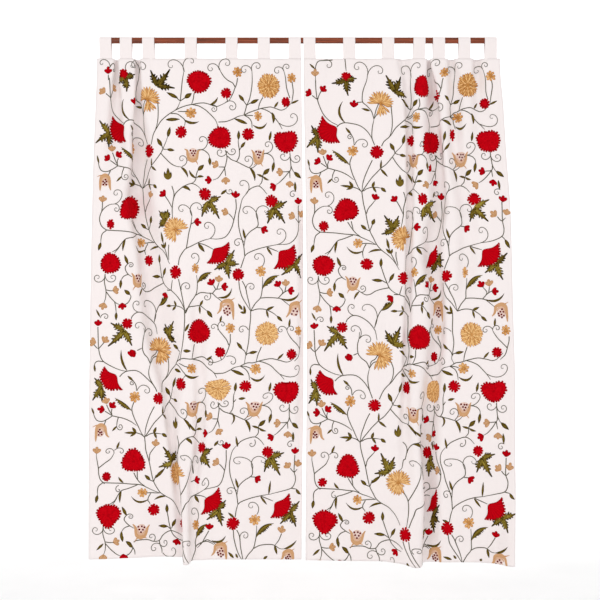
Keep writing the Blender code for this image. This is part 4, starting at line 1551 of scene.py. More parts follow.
# Vines, curls, leaves and buds: those of all four repeats, of the upper and the lower ones, the lower
# ones set by the curtain that shows them flatter, and those of one upper repeat alone
SHARED_SPRAYS = Sprays(
    tuple(Repeat), None,
    vines=[
        [(32.5, 127), (36, 124), (41, 122.5), (50, 123.5), (57, 126), (63, 131), (67, 137), (70, 145)],
        [(70, 145), (67.5, 137), (68, 128), (70, 119)], [(75, 103), (72, 110), (70, 119)],
        [(77, 108), (73, 114), (70, 119)], [(87, 104), (87.3, 113), (86.5, 122), (84, 131)],
        [(77, 146), (80, 139), (84, 131), (90, 121), (97, 115), (104, 110.5), (107, 107), (109.5, 101)],
        [(46.5, 133.5), (49, 139), (49.5, 145)],
        [(47, 156.5), (45, 163.5), (47, 172), (50, 180), (53, 187), (56.5, 192)],
        [(67.5, 160), (62, 171), (58, 182), (56.5, 192)],
        [(56.5, 192), (62, 184), (68, 175.5), (76, 167), (82, 162), (88, 154.5), (91, 149), (94, 143),
         (96.5, 137)],
        [(89.5, 147), (91, 150), (95.5, 150)],
        [(88, 154.5), (94, 159), (100, 164), (105, 166.3), (109, 166.7)],
        [(18.5, 156), (21, 163), (23.3, 168)], [(16, 163), (23.3, 168)],
        [(24, 161), (22.8, 164.5), (23.3, 168)],
        [(23.3, 168), (29, 169.5), (36, 171.5), (43, 175), (48.5, 179.5)],
        [(23.3, 168), (17, 171.5), (12, 173.5), (7, 172.5), (4.5, 168), (4, 162)], [(16, 172), (13.5, 178)],
        [(30, 169.8), (28, 174), (27, 178.5)], [(48, 187), (53, 189), (56.5, 192)],
        [(58, 191), (62, 188.5), (68, 187), (76, 187.5)],
        [(56.5, 192), (58, 203), (60.5, 213), (62, 223), (64, 231), (67.5, 238), (71, 244), (76, 248.5),
         (83, 252), (88, 257), (92, 264)],
        [(61, 213), (63, 208), (67, 203.5), (70, 200)], [(66.5, 224.5), (64, 231)],
        [(60.5, 229.5), (64, 231)], [(42, 222), (46, 228), (50, 233), (54, 236)],
        [(45.5, 221), (47.5, 229.5)],
        [(14, 232), (22, 232.5), (31, 233), (40, 234), (50, 235), (57, 238), (64, 241), (70, 244)],
        [(14, 232.3), (10, 235.5), (8.5, 240), (7.8, 245)],
        [(47, 235), (38, 238.5), (32, 240.5), (28, 245), (25, 250), (21, 255)],
        [(27, 246.5), (23.5, 251), (18.5, 254)], [(56, 243.5), (62, 243.3), (70, 244)],
        [(60, 244), (57.5, 248.5), (56.5, 253), (57, 258)],
        [(100, 186), (102, 194), (100, 203), (98, 212), (97, 220)],
        [(12, 276), (11.5, 284), (13.2, 293), (13, 300), (11.5, 305)],
        [(13.2, 292), (17, 293), (21, 293.3)], [(13.5, 294), (18, 300), (23, 305), (27.5, 307.5)],
        [(32.5, 307.5), (36, 305), (38.5, 300), (37.3, 297)],
        [(34.2, 266), (32, 269.5), (32.8, 273.5), (35.5, 277.2), (39.5, 280)],
        [(35.5, 277.2), (31, 279), (28.3, 282.5)],
        [(74.5, 265), (77, 272), (80, 279), (82.5, 284), (87, 288), (92, 290.5)],
        [(83, 275), (81.5, 278.5)], [(75.5, 278.5), (80.5, 279.5)], [(105.5, 97.5), (109.5, 101)],
        [(104, 110.5), (110, 107.5), (116, 105.5), (121, 104.5), (130, 103), (136, 103.5), (145, 106.3),
         (150, 105), (157, 101.5)],
        [(123.5, 93), (122.5, 99), (120.7, 104.5)],
        [(121, 104.5), (128, 106), (134, 109.5), (138, 113), (142, 117), (145, 121), (147, 127)],
        [(147.5, 122), (155, 121.5), (162, 119), (167, 116.5), (173, 115)], [(117, 111.5), (107, 111.5)],
        [(100, 113.7), (106, 114), (110, 116.5), (114, 120.5), (113.5, 126)],
        [(167, 78), (166, 84), (164.3, 88), (162, 94), (159, 99.5), (157, 101.5)],
        [(156, 98.5), (157, 101.5)],
        [(173, 115), (178, 112.5), (184, 110.5), (190, 108.5), (195, 107.5), (200, 107), (205, 108.5),
         (210, 110), (214, 109), (218, 105.5), (221, 102.5)],
        [(192, 97.5), (189, 103), (187.3, 109.5)],
        [(190, 108.5), (195, 110), (200, 113), (204, 118), (208, 123.5), (211, 129)],
        [(182, 115.5), (173, 115)], [(173, 115), (178, 118), (180.5, 122), (181, 128)],
        [(154, 150), (155.5, 157), (154.5, 163), (153, 168), (150, 173), (146, 178), (141, 180)],
        [(153, 168), (154, 176)], [(153, 167), (147, 166.8)],
        [(156, 156), (160, 159.5), (165, 161.5), (170, 164), (176, 167), (180, 168), (184, 165.5),
         (186, 163)],
        [(165, 161.5), (167.5, 157), (168, 151), (167, 143), (167.2, 139)], [(168.2, 150), (169.5, 147.5)],
        [(126, 150), (129, 149.5), (133, 150.5), (137, 154), (138.2, 158)],
        [(191, 155), (194, 153.3), (199, 155), (202, 159), (202.5, 163)],
        [(218.5, 153), (219, 161), (219.5, 166), (221, 170), (223, 173)],
        [(219.5, 166), (218, 171), (210, 171.8)], [(218, 171), (213, 177), (208, 182), (204.5, 184.5)],
        [(218, 171), (218.3, 178)], [(126, 170.5), (124.5, 175), (124, 179), (122, 182), (119, 183.5)],
        [(125, 177.5), (126.5, 177)],
        [(101, 199), (104, 193), (110, 187.5), (115, 184.8), (120, 183.5), (125, 185.5), (129.5, 189.5)],
        [(192, 173), (190.8, 177), (190, 182), (187, 186)],
        [(174, 194), (177, 190), (182, 187), (187, 186), (191, 189), (195, 194)],
        [(163.5, 199), (163, 207), (161, 213), (158, 220), (155, 227), (151, 234), (147, 237.5), (140, 239),
         (133, 238.5)],
        [(154, 213.5), (156.5, 216.5), (158, 220)],
        [(104, 254), (108, 249), (114, 246), (120, 243), (126, 240.5), (133, 238.5)],
        [(121, 243), (128, 245), (136.5, 249.5)], [(114.5, 224), (118.5, 222)],
        [(101, 265), (102.5, 257), (107, 250)],
        [(167.5, 256), (166.5, 246), (165, 240), (163, 233), (162, 225), (163.5, 216), (167, 207),
         (170, 199), (174, 194)],
        [(182, 220), (181, 226), (174, 231), (170, 235), (168, 239), (166.7, 247)],
        [(180.5, 227.5), (185, 227.7)], [(220, 218.5), (224, 222.5), (228, 219.5)],
        [(167.5, 256), (170, 253.5), (175, 251), (182, 248.5), (190, 246.5), (200, 244.5)],
        [(190, 247), (196, 249.5), (201, 251.5)], [(163.5, 268), (165.5, 262), (167.5, 256)],
        [(107, 313), (112, 303), (117, 296), (119, 291), (119.7, 282), (119, 275)],
        [(118, 295), (123, 292.5), (130, 293), (135, 293.5), (139, 297), (143, 300), (146, 303)],
        [(161.5, 281), (162.5, 289), (165, 297), (169, 304), (173.5, 311)],
        [(165, 281), (168, 287), (170, 296), (172, 304), (173.5, 311)],
        [(173.5, 311), (178, 303.5), (183, 298), (184.5, 292), (185.3, 285), (185.3, 277)],
    ],
    tendrils=[
        Tendril((47, 134.5), (45.5, 137), -1.25, 2.6), Tendril((50, 145), (59.5, 144.5), 1.3, 4.2),
        Tendril((27, 178.5), (31, 179), -1.35, 3.4), Tendril((12, 277), (19.5, 279.5), -1.35, 4.2),
        Tendril((12, 277), (4.5, 279.5), 1.35, 4.2), Tendril((34.3, 266.3), (37.3, 268), 1.45, 2.6),
        Tendril((208, 123), (221.5, 116.5), -1.3, 4.2), Tendril((110, 166.5), (110.5, 159), -1.35, 4.2),
        Tendril((130, 150), (130.5, 140), -1.25, 4.2), Tendril((155.5, 151), (148.8, 152), 1.25, 4.2),
        Tendril((155.5, 151), (161.3, 150.8), -1.35, 3.4), Tendril((178, 167), (176, 159.5), -1.35, 4.2),
        Tendril((194, 153.3), (196.3, 145), -1.35, 4.2), Tendril((218.7, 156), (212, 156), 1.1, 4.2),
        Tendril((219, 158), (225.2, 158), -1.35, 4.2), Tendril((154, 189.5), (158, 191), -1.15, 3.4),
        Tendril((133, 238.5), (130.5, 226.5), -1.35, 4.2), Tendril((117, 216), (108, 209.5), -1.2, 4.2),
        Tendril((117, 216), (125.5, 207.5), 1.25, 4.2), Tendril((182, 220), (172, 211.5), -1.25, 4.2),
        Tendril((182, 220), (192, 211), 1.25, 4.2), Tendril((166.5, 242), (160.5, 243), -1.25, 4.2),
        Tendril((224, 191.5), (220.8, 194.5), -1.15, 3.4), Tendril((103.5, 290), (109, 286.5), 1.35, 4.2),
        Tendril((118.8, 264), (116.5, 256.5), -1.15, 4.2), Tendril((169.3, 291), (174, 287), 1.35, 4.2),
        Tendril((185.3, 266), (180, 257.5), -1.25, 4.2),
    ],
    leaves=[
        Leaf((46.5, 133.7), (41.2, 127.3), 2.2), Leaf((4.5, 166), (3, 159), 1.7),
        Leaf((27, 178.5), (22, 183.5), 1.8), Leaf((48, 187), (35, 185.2), 2.2),
        Leaf((48, 187), (44, 181), 2.6), Leaf((48, 187), (41, 189.5), 2),
        Leaf((67, 187.5), (69.5, 180.5), 2.6), Leaf((67.5, 186), (71, 192.5), 2.2),
        Leaf((76, 187), (81.3, 190.3), 3), Leaf((76, 167.5), (76.6, 159.5), 1.8),
        Leaf((76, 167.2), (84, 170.8), 2.2), Leaf((96.5, 137), (99, 127), 3.2),
        Leaf((89.5, 147.3), (85, 139.5), 3.4), Leaf((95.3, 150), (103, 150.5), 2.8),
        Leaf((60.5, 229.5), (55, 224.5), 3), Leaf((7.8, 244.5), (5, 252.5), 3),
        Leaf((31.5, 240.8), (29, 253), 2.2, 0.06), Leaf((57.5, 250.5), (40.5, 246.3), 1.9, -0.25),
        Leaf((76, 248.5), (62, 252.7), 2, 0.1), Leaf((34.3, 266.3), (30.7, 256.8), 2.8),
        Leaf((28.2, 282.5), (27.7, 291.5), 2.6), Leaf((37.5, 297.5), (31.7, 292.7), 3.4),
        Leaf((74.5, 266), (75, 257), 3), Leaf((82.5, 276), (87, 267.5), 3),
        Leaf((76, 278.5), (65, 279.5), 3), Leaf((95, 119.7), (109, 119.2), 3),
        Leaf((107, 98), (96, 93), 3.2), Leaf((139, 104.5), (147, 97), 2.2, 0.14),
        Leaf((113, 119.5), (128, 121.5), 2.4, 0.16), Leaf((203.5, 107.5), (207.5, 101.5), 2),
        Leaf((182, 125), (196, 122.5), 2.2, 0.3), Leaf((176, 123.5), (163, 118.5), 3),
        Leaf((167.2, 139.5), (167.7, 130.5), 2.8), Leaf((109, 167), (116, 177.5), 2.4, -0.12),
        Leaf((138.1, 157.5), (138.4, 165.5), 2.8), Leaf((178, 167.5), (183, 181), 2.6, -0.12),
        Leaf((202.5, 162), (200.7, 172), 2.8), Leaf((198, 140.5), (200, 131), 2.4),
        Leaf((222.5, 172), (229.3, 178.2), 3.6), Leaf((223.5, 191), (223.3, 181.5), 2.4),
        Leaf((126.3, 170.3), (132.3, 164.7), 3.8), Leaf((124.3, 178), (117.5, 170), 2.2, -0.12),
        Leaf((125.5, 177), (132, 176.8), 2.2, -0.1), Leaf((191.8, 174.3), (198, 168.3), 3.8),
        Leaf((191.5, 176.7), (185, 174), 2), Leaf((191.3, 176.3), (197.5, 180), 2, 0.1),
        Leaf((149, 194.3), (155, 189.5), 2.4), Leaf((110, 187), (118.5, 191), 2.8, -0.15),
        Leaf((168, 239), (166, 228.5), 2.2), Leaf((121, 243.7), (127.3, 252), 3.2),
        Leaf((189.5, 247.3), (195, 255.5), 2), Leaf((141, 297.3), (154.5, 288), 2.2, 0.25),
    ],
    toothed=[
        Leaf((120, 282.7), (134.5, 272.3), 4.6, -0.2), Leaf((185.3, 288.3), (202, 275.3), 4.6, -0.2),
        Leaf((44.5, 164.5), (27.5, 150), 3.4, 0.06),
    ],
    buds=[
        Bud((13, 161), RED_BUDS), Bud((24.5, 157.5), RED_BUDS), Bud((18, 152), TAN_BUDS),
        Bud((23, 292.5), TAN_BUDS), Bud((11, 308), TAN_BUDS), Bud((70, 197), RED_ON_RIGHT),
        Bud((30, 308.5), RED_BUDS), Bud((50, 104), RED_BUDS), Bud((144, 164.5), RED_ON_RIGHT),
        Bud((154, 180), RED_ON_RIGHT), Bud((137, 180), TAN_ON_RIGHT), Bud((151, 212), TAN_BUDS),
        Bud((208.5, 172), RED_IN_RIGHT_UPPER), Bud((201.5, 186.5), TAN_IN_RIGHT_UPPER),
        Bud((218, 184), RED_IN_RIGHT_UPPER), Bud((217, 216), TAN_BUDS), Bud((229, 214), TAN_BUDS),
    ],
)
UPPER_SPRAYS = Sprays(
    UPPER, None,
    vines=[
        [(12, 80), (12.3, 90), (13.5, 99), (16, 107), (20, 115), (26, 121), (34, 125.5)],
        [(8.5, 95.5), (13.5, 99.5)], [(17.5, 91), (15, 96), (13.7, 101)],
        [(70, 119), (67.5, 111), (63, 105.5), (58.8, 101.5), (58.5, 95), (60, 88), (63, 80), (64, 74)],
        [(53, 102), (58.8, 101.5)],
        [(14, 232), (9, 228), (6.8, 221), (8.5, 214), (12, 209.5), (17, 206.5), (22, 206)],
        [(9, 204), (9.2, 209), (8.5, 214)], [(93, 196), (96.5, 202), (98.8, 208)],
        [(84, 243.5), (86, 250), (90, 260)], [(91, 245), (90.3, 252), (91, 260)],
        [(82, 283.5), (75, 287), (69, 290), (64, 293.5), (59.5, 294.5), (55, 292.5), (51.5, 290)],
        [(92, 290.5), (94.5, 280)],
        [(92, 290.5), (97, 294.5), (101, 299), (104, 304), (106, 309), (107, 313)],
        [(86.5, 290.5), (92, 290.5)], [(101, 279), (102.5, 288), (104.5, 299), (107, 313)],
        [(109.5, 101), (111, 88), (112, 80), (113.7, 71)], [(114, 98), (109.5, 101)],
        [(164.5, 87), (162, 83), (157, 80), (153, 76), (150, 71), (149, 68)],
        [(173, 115), (174.5, 110), (176, 105), (179, 98), (181, 88), (181.7, 80), (181.5, 71)],
        [(173, 101), (176, 105.5)], [(180, 102.7), (176, 105)], [(221.5, 82), (222.5, 92), (221, 102.5)],
        [(219, 98), (216, 88), (215, 78), (213.5, 71)],
        [(109, 248), (110.5, 240), (112, 232), (114.5, 224), (117, 216)],
        [(135, 293.5), (138.5, 289.5), (142, 289), (145, 288)], [(138.5, 289.5), (136, 285)],
        [(139.5, 289), (142, 282)],
        [(107, 311), (110, 307), (116, 306), (122, 305.5), (126, 308), (130, 311)],
        [(183, 298), (190, 297.5), (200, 298), (204, 299), (208, 302), (213, 306)],
        [(201, 298), (205.5, 292), (201.5, 286)], [(204.5, 294), (209, 291), (212, 290.5)],
        [(207.5, 291.7), (208.7, 286)],
        [(173.5, 311), (180, 309), (186, 309), (190, 310), (196, 313), (201, 317)],
    ],
    tendrils=[
        Tendril((64, 75), (54, 67.5), -1.3, 4.2), Tendril((64, 75), (76, 71.5), 1.2, 4.2),
        Tendril((22, 206), (22.5, 195.5), -1.35, 4.2), Tendril((22, 206), (23.5, 211), 1.25, 3.4),
        Tendril((54, 292), (56, 288), -1.35, 3.4), Tendril((114, 72), (101.5, 66.5), -1.15, 4.2),
        Tendril((114, 72), (121.4, 62), 1.15, 3), Tendril((149, 70), (140.5, 68.5), -1.25, 4.2),
        Tendril((149, 70), (156.5, 63.5), 1.3, 4.2), Tendril((181.5, 71), (174, 70), -1.25, 4.2),
        Tendril((181.5, 71), (187, 66.5), 1.25, 4.2), Tendril((140.5, 105), (142.8, 109), 1.45, 3.4),
        Tendril((154, 103), (161, 107), 1.45, 4.2), Tendril((213.5, 71), (207, 71), -1.15, 4.2),
        Tendril((213.5, 71), (216.5, 67), 1.25, 3.4), Tendril((175, 193), (170.5, 184), -1.15, 4.2),
        Tendril((200, 244.5), (202.5, 232.5), -1.35, 4.2), Tendril((132.5, 293), (129.3, 297), 1.25, 3.4),
    ],
    leaves=[
        Leaf((41, 122.5), (39, 101), 2.2, -0.22), Leaf((66, 110.5), (57.5, 108), 2.2),
        Leaf((66.5, 224.5), (70, 216.5), 3.4), Leaf((84, 243.5), (82.5, 232), 2.4),
        Leaf((85.5, 249), (80.5, 245), 2.4), Leaf((85.5, 249), (87.5, 242), 2.2),
        Leaf((52.8, 291.3), (47.5, 299.3), 2, 0.08), Leaf((114, 98), (121, 93.3), 4),
        Leaf((173, 101), (168, 94.5), 3), Leaf((179.7, 103.3), (188, 99.3), 3.2),
        Leaf((220.5, 103.5), (228, 100), 1.9), Leaf((201, 112.5), (202, 123.5), 2.8, -0.1),
        Leaf((169.4, 147.8), (174, 141.7), 2.6), Leaf((122, 305.5), (125.5, 300), 2.4),
        Leaf((121.6, 305.8), (122, 314), 2), Leaf((130, 310.5), (135.3, 317.5), 3.4),
        Leaf((189, 310), (197, 306.3), 2.4), Leaf((189.2, 310), (191.3, 318), 2),
        Leaf((165.2, 309.7), (160.8, 303.5), 2.4), Leaf((168.3, 313.5), (166.6, 305.3), 2.4),
        Leaf((168.3, 313), (163, 312), 2.2), Leaf((204, 298.5), (223, 292), 2.2, 0.22),
    ],
    buds=[
        Bud((5, 93), RED_IN_RIGHT_UPPER), Bud((19.5, 89), RED_IN_RIGHT_UPPER),
        Bud((11.5, 73), TAN_IN_RIGHT_UPPER), Bud((83, 296), RED_BUDS), Bud((90.7, 194), RED_BUDS),
        Bud((9, 201), TAN_BUDS), Bud((134, 282.5), RED_BUDS), Bud((141.5, 279), TAN_BUDS),
        Bud((147, 286.5), RED_BUDS), Bud((200.5, 284), RED_BUDS), Bud((208.5, 283), TAN_BUDS),
        Bud((213.5, 290.5), RED_BUDS),
    ],
)
LOWER_SPRAYS_BY_RIGHT = Sprays(
    LOWER, Repeat.RIGHT_LOWER,
    vines=[
        [(7.5, 330), (8, 340), (8.5, 350), (10, 358), (13, 364.5), (20, 370), (29, 374), (37, 375.5)],
        [(3.5, 347), (6, 350), (8.5, 352)], [(14, 345.5), (11, 349), (8.5, 352)],
        [(13, 365), (8, 364.3), (5, 366), (3.8, 369)],
        [(39.5, 322), (41, 319), (46, 315.5), (52, 316), (58, 319), (63, 323), (67, 328), (69, 332),
         (70.5, 340)],
        [(63, 368), (60, 362), (55, 358), (51.5, 353), (51, 345), (52.5, 338), (53, 332)],
        [(47, 355), (51.5, 353)], [(79, 306), (74, 311), (71, 317), (69, 323), (68, 328)],
        [(91, 311), (97, 311), (103, 312.5), (107, 316.5)], [(23, 305), (24, 310), (24.5, 316)],
        [(94, 486), (99, 492), (103, 499), (104, 510), (103, 524)],
        [(103, 499), (108, 490), (113, 480), (116, 471), (116, 465)],
        [(44, 547), (47, 545.5), (54, 545), (59, 545.5), (64, 547.5), (70, 547), (74, 542), (80, 539),
         (86, 538), (91, 539.5), (96, 542), (100, 545.5)],
        [(70, 547), (71, 551), (73.5, 556), (74, 560)], [(43, 552), (45, 556), (45.5, 560)],
        [(100, 538), (103, 545), (108, 553), (114, 560)], [(106, 537), (108, 545), (113, 553), (119, 561)],
        [(14.5, 489.2), (10.5, 485), (8.8, 479.5), (8.4, 473.5), (7.2, 467), (6, 460), (6, 456.8)],
        [(8.4, 473.5), (14.5, 468.5), (19.9, 463.8), (23, 457.7)],
    ],
    tendrils=[
        Tendril((9.5, 321), (14.5, 320), 1.25, 3.0), Tendril((53, 338.5), (47, 329.5), -1.25, 3.8),
        Tendril((53, 338.5), (61, 340), 1.25, 3.8), Tendril((46.5, 315), (45.8, 307), 1.3, 3.2),
        Tendril((68, 327), (57.8, 309), -1.1, 3.6), Tendril((71, 551), (65, 555), -1.2, 3.8),
        Tendril((72, 552), (77, 549.5), -1.2, 3.4), Tendril((75, 560), (87, 557), -1.1, 4.0),
        Tendril((64, 547.5), (61.5, 542.5), -1.2, 3.0), Tendril((23, 457.7), (17.6, 455.4), -1.25, 3.6),
        Tendril((23.5, 454.5), (29.6, 456.2), 1.15, 2.8), Tendril((28.6, 490.8), (28.5, 495.6), -1.1, 2.4),
    ],
    leaves=[
        Leaf((9, 320), (5, 312.5), 1.7), Leaf((4, 375), (3.8, 367.5), 1.9),
        Leaf((36.8, 375), (31.5, 353), 2.2, -0.1), Leaf((91, 311), (84, 311), 2.4),
        Leaf((97.5, 311), (95, 305.5), 2.2), Leaf((97, 311.5), (92.5, 316), 2.2),
        Leaf((24.5, 315.5), (24.5, 323.5), 2.6), Leaf((65.5, 482.5), (75, 475), 2.8),
        Leaf((43, 552.5), (38, 548), 3.0), Leaf((32.5, 540), (33, 547), 2.4),
        Leaf((14, 549), (7, 555.5), 2.2), Leaf((105, 557.5), (107.5, 564), 2.6),
        Leaf((25.5, 453), (28.7, 445.4), 2), Leaf((33, 488.2), (28.3, 482.3), 2, -0.08),
    ],
    toothed=[
        Leaf((75, 310.5), (87, 301.5), 4.6, 0.12),
    ],
    buds=[
        Bud((7.5, 326), RED_BUDS), Bud((3, 345), TAN_BUDS), Bud((15, 343), TAN_BUDS),
        Bud((43, 357), RED_BUDS), Bud((91.5, 549), RED_BUDS), Bud((6, 453.5), TAN_BUDS),
    ],
)
LOWER_SPRAYS_BY_LEFT = Sprays(
    LOWER, Repeat.LEFT_LOWER,
    vines=[
        [(106, 310), (106, 318), (105.5, 325), (104.5, 335), (103, 345), (101, 355), (100, 361)],
        [(152, 345), (150, 340), (146, 335), (142, 330), (141, 327)],
        [(173.5, 311), (173.5, 318), (172.5, 330), (172, 340), (170.5, 350), (169, 357), (168, 364)],
        [(225, 349), (220, 344), (215, 339), (211, 333), (210, 330)],
        [(226, 337), (226, 343), (225, 350), (223, 356), (218, 361)],
        [(183, 549), (189, 546), (196, 545), (203, 545.5), (209, 549), (213, 549.5)],
        [(211, 534), (208, 541), (204.5, 545.5)], [(138, 531), (134, 538), (131, 543), (126, 548)],
        [(129, 543), (135, 541.5), (140, 543), (143, 545)],
        [(222.8, 455), (222.6, 463), (222.4, 471.5), (224, 478), (223, 484), (219.5, 488.5), (210, 491.5),
         (200, 494)],
        [(219.5, 488.5), (225, 489.4)], [(165.3, 348.6), (168.3, 351.5), (169.6, 355.5)],
        [(172.8, 353), (170.8, 353.6), (169.6, 355.5)], [(141.6, 373.6), (139, 373.3), (136.9, 372.3)],
    ],
    tendrils=[
        Tendril((141, 330), (136.5, 327), -1.2, 3.2), Tendril((141, 327), (145.5, 324.5), 1.2, 3.0),
        Tendril((150, 356.5), (156, 362), 1.1, 3.6), Tendril((134, 358), (133.5, 363), 1.1, 2.6),
        Tendril((171.5, 330), (165, 330), -1.3, 3.4), Tendril((210, 330), (204, 330), -1.3, 3.2),
        Tendril((210, 330), (214.5, 329), 1.2, 3.0), Tendril((181.9, 439.6), (178.9, 444.1), 1.1, 2.8),
    ],
    leaves=[
        Leaf((106, 331), (110.5, 323), 2.4), Leaf((104, 350.5), (112, 350.5), 3.0),
        Leaf((143, 322), (144.5, 315.5), 2.0), Leaf((165.5, 349), (160, 342), 2.8),
        Leaf((172.5, 353), (181, 351.5), 2.8), Leaf((212, 327), (213, 318.5), 2.0),
        Leaf((213, 549.5), (226, 541), 2.2, 0.1), Leaf((204, 546), (206.5, 555), 2.4),
        Leaf((163, 558.5), (157.5, 552.5), 2.4), Leaf((167, 558.5), (165, 554), 2.0),
        Leaf((193, 559.5), (197, 556.5), 2.4), Leaf((163, 518), (157, 513), 2.2),
        Leaf((197.4, 494.5), (199, 480.7), 2), Leaf((165.3, 446.6), (163, 436), 2),
        Leaf((225, 489.4), (230, 495), 2.6, 0.1), Leaf((200, 316), (205.3, 321.3), 2.8),
        Leaf((163, 398.8), (170, 398), 2.4), Leaf((156.5, 412.5), (157.5, 424.5), 1.8, -0.25),
    ],
    buds=[
        Bud((138.5, 527), RED_BUDS), Bud((211, 530.5), RED_ON_RIGHT),
    ],
)
RIGHT_UPPER_SPRAYS = Sprays(
    (Repeat.RIGHT_UPPER,), None,
    vines=[
        [(29, 59.8), (20, 60.3), (14.5, 61.5), (12, 68), (12, 80)], [(41.5, 59), (42.2, 66), (42.7, 71)],
        [(224.7, 204), (224.7, 216), (225, 224), (225.7, 231), (222.7, 237.5), (211.7, 242.5),
         (200, 244.5)],
        [(222.7, 237.5), (226, 241)],
    ],
    tendrils=[
        Tendril((20, 60.3), (25, 65), 1.05, 4.2),
    ],
    leaves=[
        Leaf((11.5, 68.7), (6, 63.5), 1.7), Leaf((225.7, 240.7), (230.4, 249), 3.2),
    ],
)
LEFT_UPPER_SPRAYS = Sprays(
    (Repeat.LEFT_UPPER,), Repeat.LEFT_UPPER,
    vines=[
        [(226, 205), (225, 215), (224, 222), (222, 230), (219, 237), (215, 241.5), (210, 244),
         (200, 244.5)],
        [(12, 80), (11.5, 74.5)], [(11.8, 70), (13.3, 66.5), (16.3, 63.3), (19.5, 65.8), (21.2, 66.4)],
    ],
    tendrils=[
        Tendril((13.2, 66.5), (5.1, 63.3), -1.15, 2.8), Tendril((19.7, 66.5), (17.6, 69.5), 1.0, 2.4),
        Tendril((42.4, 69.5), (49, 65.6), 1.2, 4),
    ],
)

SPRAYS = [
    SHARED_SPRAYS, UPPER_SPRAYS, LOWER_SPRAYS_BY_RIGHT,
    LOWER_SPRAYS_BY_LEFT, RIGHT_UPPER_SPRAYS, LEFT_UPPER_SPRAYS,
]


class ChartWarp:
    """Moves places of the chart to where one repeat was worked by hand."""

    def __init__(self, repeat: Repeat, softness: float = 4.0) -> None:
        """Reads the places that were measured for one repeat.

        Args:
            repeat: The repeat.
            softness: How near a place has to be to follow one motif alone, in squares squared.
        """
        self.repeat = repeat
        self.softness = softness
        self.shift = REPEAT_LINES if repeat.value >= Repeat.LEFT_LOWER.value else 0
        self.chart = np.array([place.chart for place in PLACES], float) + (0, self.shift)
        self.worked = np.array([place.worked[repeat.value] for place in PLACES], float)

    def _moved(self, points: np.ndarray, first: np.ndarray) -> np.ndarray:
        """The points moved by their nearest known places, the nearer the more."""
        away = ((points[:, None, :] - first[None]) ** 2).sum(axis=-1)
        weight = 1 / (away + self.softness) ** 2
        shift = (weight[:, :, None] * (self.worked - first)[None]).sum(axis=1)
        return points + shift / weight.sum(axis=1)[:, None]

    def from_chart(self, points: list) -> np.ndarray:
        """Places of the chart, as this repeat was worked."""
        return self._moved(np.array(points, float).reshape(-1, 2) + (0, self.shift), self.chart)

    def from_repeat(self, points: list, source: Repeat) -> np.ndarray:
        """Places as one repeat was worked, moved to where this one was.

        Args:
            points: The places.
            source: The repeat that they were set by.

        Returns:
            The places in this repeat.
        """
        points = np.array(points, float).reshape(-1, 2)
        if source is self.repeat:
            return points
        first = np.array([place.worked[source.value] for place in PLACES], float)
        return self._moved(points, first)


def smooth_line(points: list, step: float = 0.8) -> np.ndarray:
    """A smooth line through given points.

    Args:
        points: The points, in squares.
        step: The longest stretch between the line's points.

    Returns:
        The line's points.
    """
    knots = np.array(points, float)
    padded = np.vstack([2 * knots[0] - knots[1], knots, 2 * knots[-1] - knots[-2]])
    line = []
    for a, b, c, d in zip(padded, padded[1:], padded[2:], padded[3:]):
        count = max(2, int(np.linalg.norm(c - b) / step) + 1)
        t = np.linspace(0, 1, count, endpoint=False)[:, None]
        line.append(0.5 * (2 * b + (c - a) * t + (2 * a - 5 * b + 4 * c - d) * t**2
                           + (3 * b - a - 3 * c + d) * t**3))
    line.append(knots[-1:])
    return np.vstack(line)


def tendril_line(curl: Tendril) -> np.ndarray:
    """A spiral that leaves a stem and curls in round its centre.

    Args:
        curl: The tendril's row of the chart.

    Returns:
        The line's points, in squares.
    """
    centre = np.array(curl.centre, float)
    away = np.array(curl.start, float) - centre
    reach = np.linalg.norm(away)
    radius = min(curl.radius, reach)
    t = np.linspace(0, 1, max(LEAST_CURL_STEPS, int(CURL_STEPS * abs(curl.turns) + reach)))
    distance = radius * (1 - CURLED_IN * t) + (reach - radius) * (1 - t) ** CURL_HASTE
    angle = math.atan2(away[1], away[0]) + 2 * math.pi * curl.turns * t
    return centre + distance[:, None] * spokes(angle)


def sampled(profile: list, share: np.ndarray) -> np.ndarray:
    """The values of an outline of (share, value) rows at each share of the way."""
    return np.interp(share, [row[0] for row in profile], [row[1] for row in profile])


def spokes(angle: np.ndarray) -> np.ndarray:
    """Unit steps in each direction, in radians, clockwise from the east."""
    return np.stack([np.cos(angle), np.sin(angle)], axis=-1)


def sideways(line: np.ndarray) -> np.ndarray:
    """Unit steps to the side of a line at each of its points."""
    way = np.gradient(line, axis=0)
    way /= np.maximum(np.linalg.norm(way, axis=1, keepdims=True), 1e-9)
    return np.stack([-way[:, 1], way[:, 0]], axis=1)


def walked(line: np.ndarray) -> np.ndarray:
    """How far along a line each of its points is."""
    return np.concatenate([[0], np.cumsum(np.linalg.norm(np.diff(line, axis=0), axis=1))])


def bent_rib(base: np.ndarray, tip: np.ndarray, bend: float, t: np.ndarray) -> np.ndarray:
    """A leaf's rib at shares of its way from base to tip, bent by a share of its length."""
    way = tip - base
    return base + t[:, None] * way + (bend * 4 * t * (1 - t))[:, None] * np.array([-way[1], way[0]])


def spread(line: np.ndarray, reach: np.ndarray, across: np.ndarray, side: np.ndarray) -> np.ndarray:
    """A grid of corners beside a line, at shares of its reach to the side at each of its points."""
    return line[:, None, :] + reach[:, None, None] * across[None, :, None] * side[:, None, :]


def outline(form: Blossom, angle: np.ndarray) -> np.ndarray:
    """A round flower's reach in each direction, smooth through its eight measured ones."""
    wave = np.fft.rfft(form.reach) / len(form.reach)
    reach = np.full(angle.shape, wave[0].real)
    for turn, part in enumerate(wave[1:-1], 1):
        reach += 2 * (part.real * np.cos(turn * angle) - part.imag * np.sin(turn * angle))
    return reach + wave[-1].real * np.cos(4 * angle)


